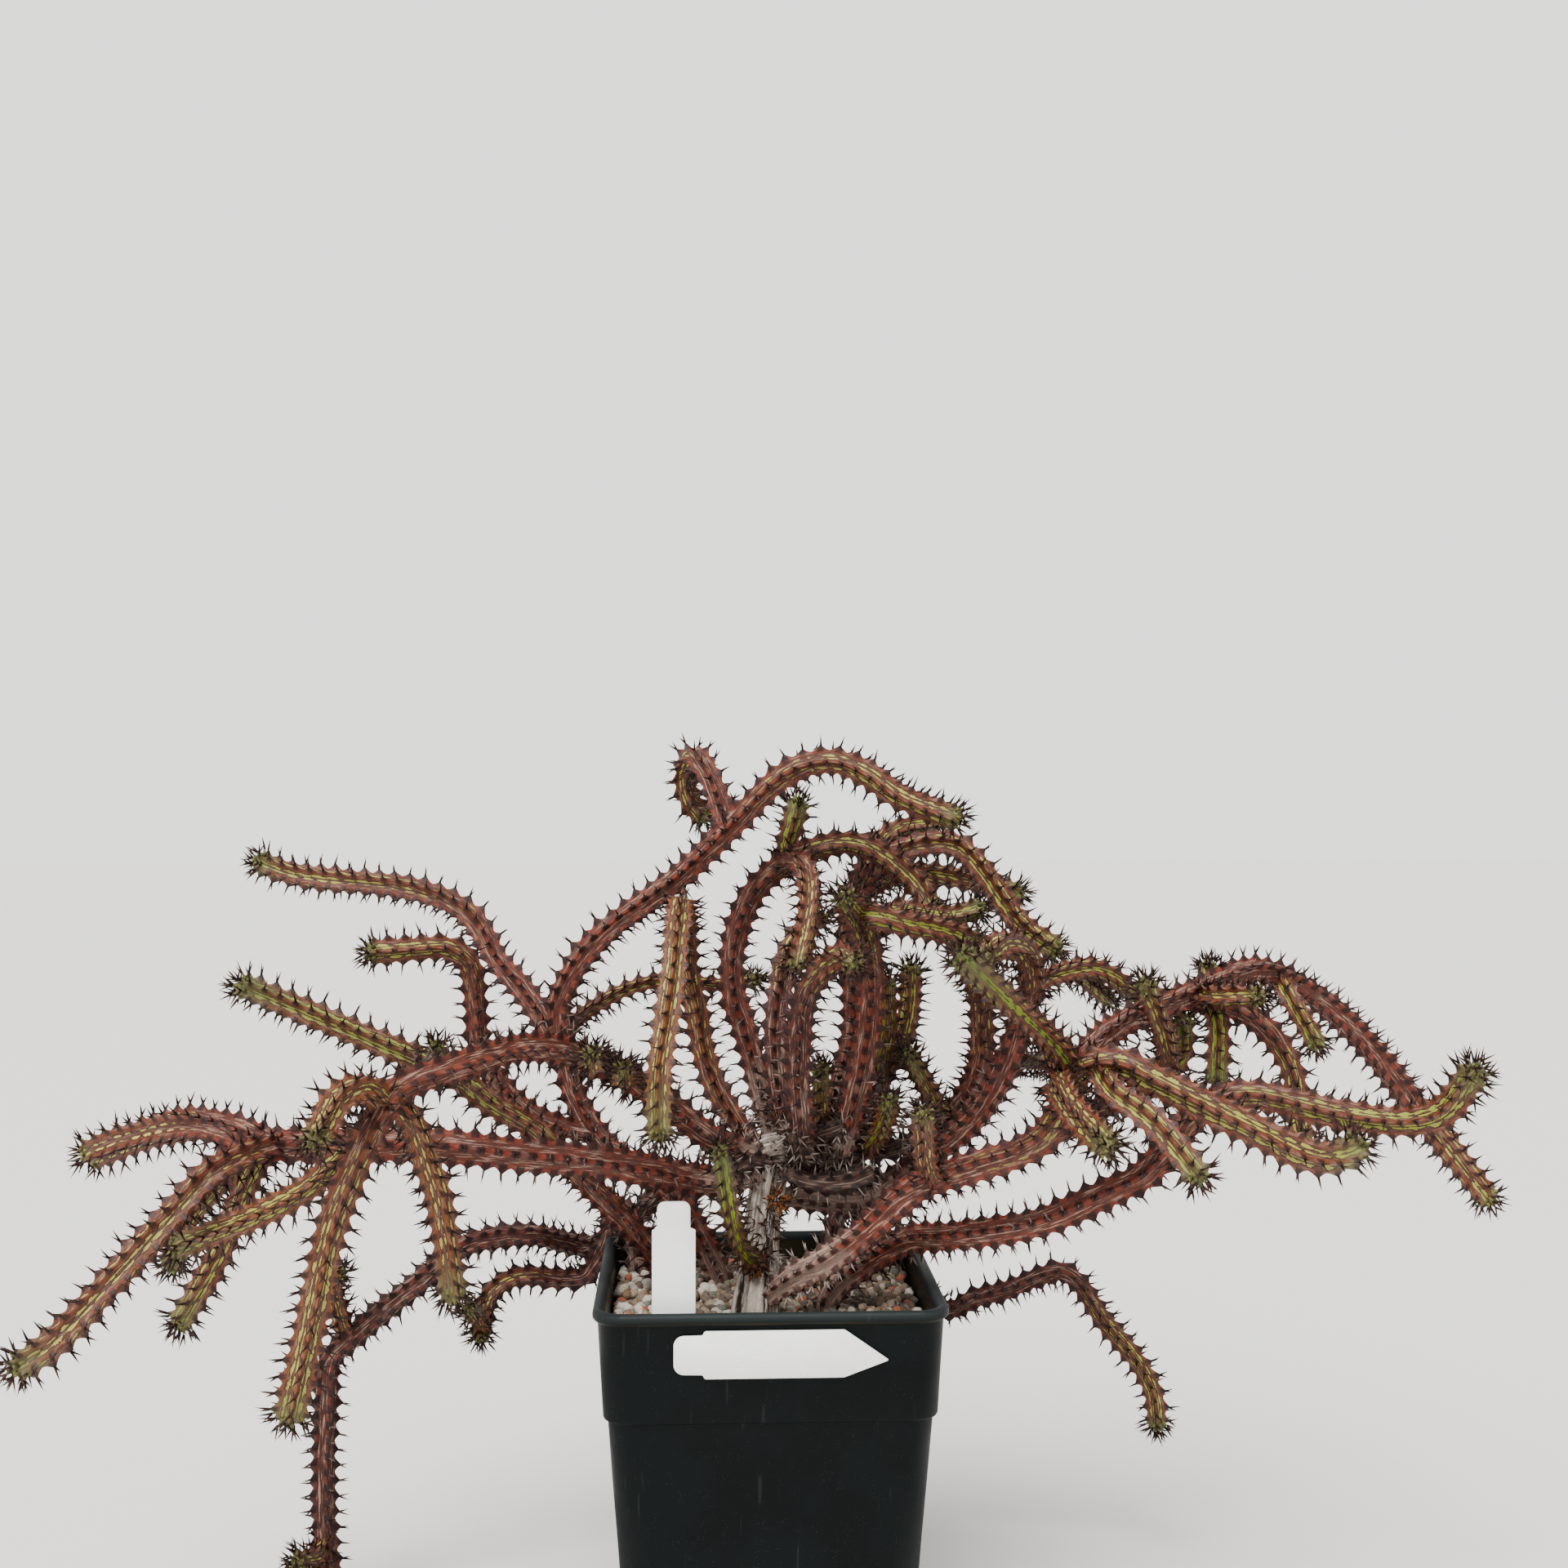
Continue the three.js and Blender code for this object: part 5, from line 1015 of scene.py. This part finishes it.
slots = {entry["node"]: entry["material_slot"] for entry in frame["record"]["subparts"]}
for seed, (node, shoots) in enumerate(plant.items()):
    draw = np.random.default_rng(seed + 40)
    parts = []
    tips = []
    main_radius = shoots[0][0]
    for order, (radius, fade, green, route) in enumerate(shoots):
        main = order == 0
        crown = main and node not in rooted_in_soil
        bark_length = bark_lengths.get(node, short_bark) if main else 0
        turn = root_turns.get(node, 0.0) if main else 0.0
        path = smooth_path(route, step_length, tip_length=7)
        surface, marks, grain, teeth = stem_skin(path, radius, fade, green, crown, bark_length, turn, draw)
        parts.append((*closed_tube(surface), with_ends(marks), with_ends(grain)))
        # No spines where a stem is sunk in the crown, the soil or its main stem, or lies on the table.
        bare_root = 8 if crown else 23 if main else main_radius + 1
        keep = np.linalg.norm(teeth[0] - np.array(route[0]), axis=1) > bare_root
        keep &= teeth[0][:, 2] > 2.2
        tips.append([part[keep] for part in teeth])
        cones, quads, threes, cone_tips = rosette(path, radius, draw)
        parts.append((cones, quads, threes, np.tile([0.5, 0.6, 0.0, green], (len(cones), 1)), cones))
        tips.append(cone_tips)
    name = node.replace("stem", "spiny_stem").replace("shoot_", "spiny_shoot_")
    piece = spiny_piece(name, parts, tips, skins[slots[node]], draw)
    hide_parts(node)

# Dead growth round the crown: nine short withered stubs with bleached spines, then a tangle of dry,
# broken spines, more of them still standing on the bark, and three withered star-shaped shoot ends,
# all grey or brown and caught between the stems.
draw = np.random.default_rng(77)
on_bark = 330
in_tangle = 420
bark_rings = np.concatenate([part[0][:-2].reshape(-1, bark_corners, 3) for part in wood])
# Rings of the trunk's upper half and of the crown.
spread = np.concatenate([np.arange(52, 85), np.arange(99, 151)])
spread = spread[spread < len(bark_rings)]
row = draw.choice(spread, on_bark)
seat = bark_rings[row, draw.integers(0, bark_corners, on_bark)]
out = unit(seat - bark_rings.mean(axis=1)[row])
ahead = draw.normal(size=seat.shape)
ahead = unit(ahead - out * (ahead * out).sum(axis=1, keepdims=True))
tangle = np.array([17, -7, 169]) + draw.normal(size=(in_tangle, 3)) * (14, 7, 6)
aim = unit(draw.normal(size=(in_tangle, 3)))
across = unit(np.cross(aim, draw.normal(size=(in_tangle, 3))))
dryness = draw.uniform(0.8, 1.6, on_bark + in_tangle)
dead_parts = [spine_pairs((np.concatenate([seat, tangle]), np.concatenate([out, aim]),
                           np.concatenate([ahead, across]), dryness, np.zeros(len(dryness))), draw)]

withered = skin_material("withered stem skin", {
    "Old rib": "3d1c12", "Old groove": "2b1610", "Deep": "0f0706", "Streak": "7a675b", "Cork": "54463d"})
withered_age = 1.12
parts = []
tips = []
for radius, route in (
    (3.2, [(5, -16, 156), (14, -22, 153), (24, -24, 153), (34, -22, 156)]),
    (2.9, [(2, -14, 158), (-6, -22, 160), (-12, -27, 158)]),
    (2.8, [(12, -14, 162), (16, -22, 168), (24, -26, 172)]),
    (3.0, [(26, -12, 162), (34, -18, 168), (40, -20, 176)]),
    (3.2, [(18, -8, 156), (26, -4, 151), (38, -2, 152)]),
    (3.0, [(28, -8, 160), (42, -8, 161), (50, -12, 166)]),
    (2.6, [(8, -16, 160), (10, -24, 164), (7, -31, 170)]),
    (2.9, [(-2, -10, 160), (-12, -8, 164), (-22, -10, 163)]),
    (2.8, [(22, -4, 160), (26, 8, 164), (30, 16, 162)]),
):
    path = smooth_path(route, step_length, tip_length=5)
    surface, marks, grain, teeth = stem_skin(path, radius, 10, 0.0, False, 0, 0.0, draw)
    marks = with_ends(marks)
    marks[-2:, :2] = 0.0
    marks[:, 2:] = (withered_age, 0.0)
    parts.append((*closed_tube(surface), marks, with_ends(grain)))
    tips.append([part[2:] for part in teeth])
    tips[-1][3] = draw.uniform(0.9, 1.5, len(tips[-1][3]))
spiny_piece("withered_stubs", parts, tips, withered, draw)


def withered_star(middle, facing, reach, count, draw):
    """A dried shoot end: long narrow leaves of four corners that open out round the way it faces."""
    facing = unit(np.asarray(facing, dtype=float))
    first = unit(np.cross(facing, (0.3, 0.1, 1.0)))
    second = np.cross(facing, first)
    turn = np.arange(count) * 2.4 + draw.uniform(-0.3, 0.3, count)
    open_by = draw.uniform(0.5, 1.45, (count, 1))
    outward = first * np.cos(turn)[:, None] + second * np.sin(turn)[:, None]
    leaf = outward * np.sin(open_by) + facing * np.cos(open_by)
    side = unit(np.cross(leaf, facing))
    above = np.cross(side, leaf)
    long = reach * draw.uniform(0.7, 1.1, (count, 1))
    base = np.asarray(middle, dtype=float) + leaf * 0.3
    wide = base + leaf * long * 0.4
    points = np.stack([base - above * 0.5, wide + side * 0.75, wide + above * 0.35, wide - side * 0.75,
                       wide - above * 0.25, base + leaf * long - above * 0.3], axis=1)
    threes = copies([(0, 2, 1), (0, 3, 2), (0, 4, 3), (0, 1, 4), (5, 1, 2), (5, 2, 3), (5, 3, 4), (5, 4, 1)],
                    count, 6)
    marks = np.tile([1.0, 0.5, 1.0, 0.5], (count * 6, 1))
    return points.reshape(-1, 3), np.zeros((0, 4), dtype=int), threes, marks


for middle, facing, reach, leaves in (
    ((2.5, -21.5, 147.5), (0.4, -1, 0.1), 6.5, 16), ((-8.5, -14, 158), (-1, -0.4, 0.2), 5.0, 16),
    ((-5, -24, 125), (-0.2, -1, 0.3), 4.0, 10),
):
    dead_parts.append(withered_star(middle, facing, reach, leaves, draw))

material, tree, shader = new_material("withered growth")
leafy, _, age, tone = read_marks(tree)
patchy = noise(tree, put(tree, "TexCoord").outputs["Object"], 700.0, 2.0)
brown = wash(tree, "3d1d10", ("7d5230", rise(tree, patchy, 0.35, 0.65)))
colour = wash(tree, "241613", ("5a3a2c", tone), ("8d8177", rise(tree, age, 1.0, 1.3)), (brown, leafy))
feed(tree, shader, {"Base Color": colour, "Roughness": 0.85, "Specular IOR Level": 0.1})
points, quads, threes, marks = joined(dead_parts)
dead = make_piece("dead_growth", points, [quads, threes], material)
give(dead, "marks", "FLOAT_COLOR", marks)

sizes = {"cad": [[float(v) for v in corner] for corner in cad_box],
         "visual": [[float(v) for v in corner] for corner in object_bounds()]}
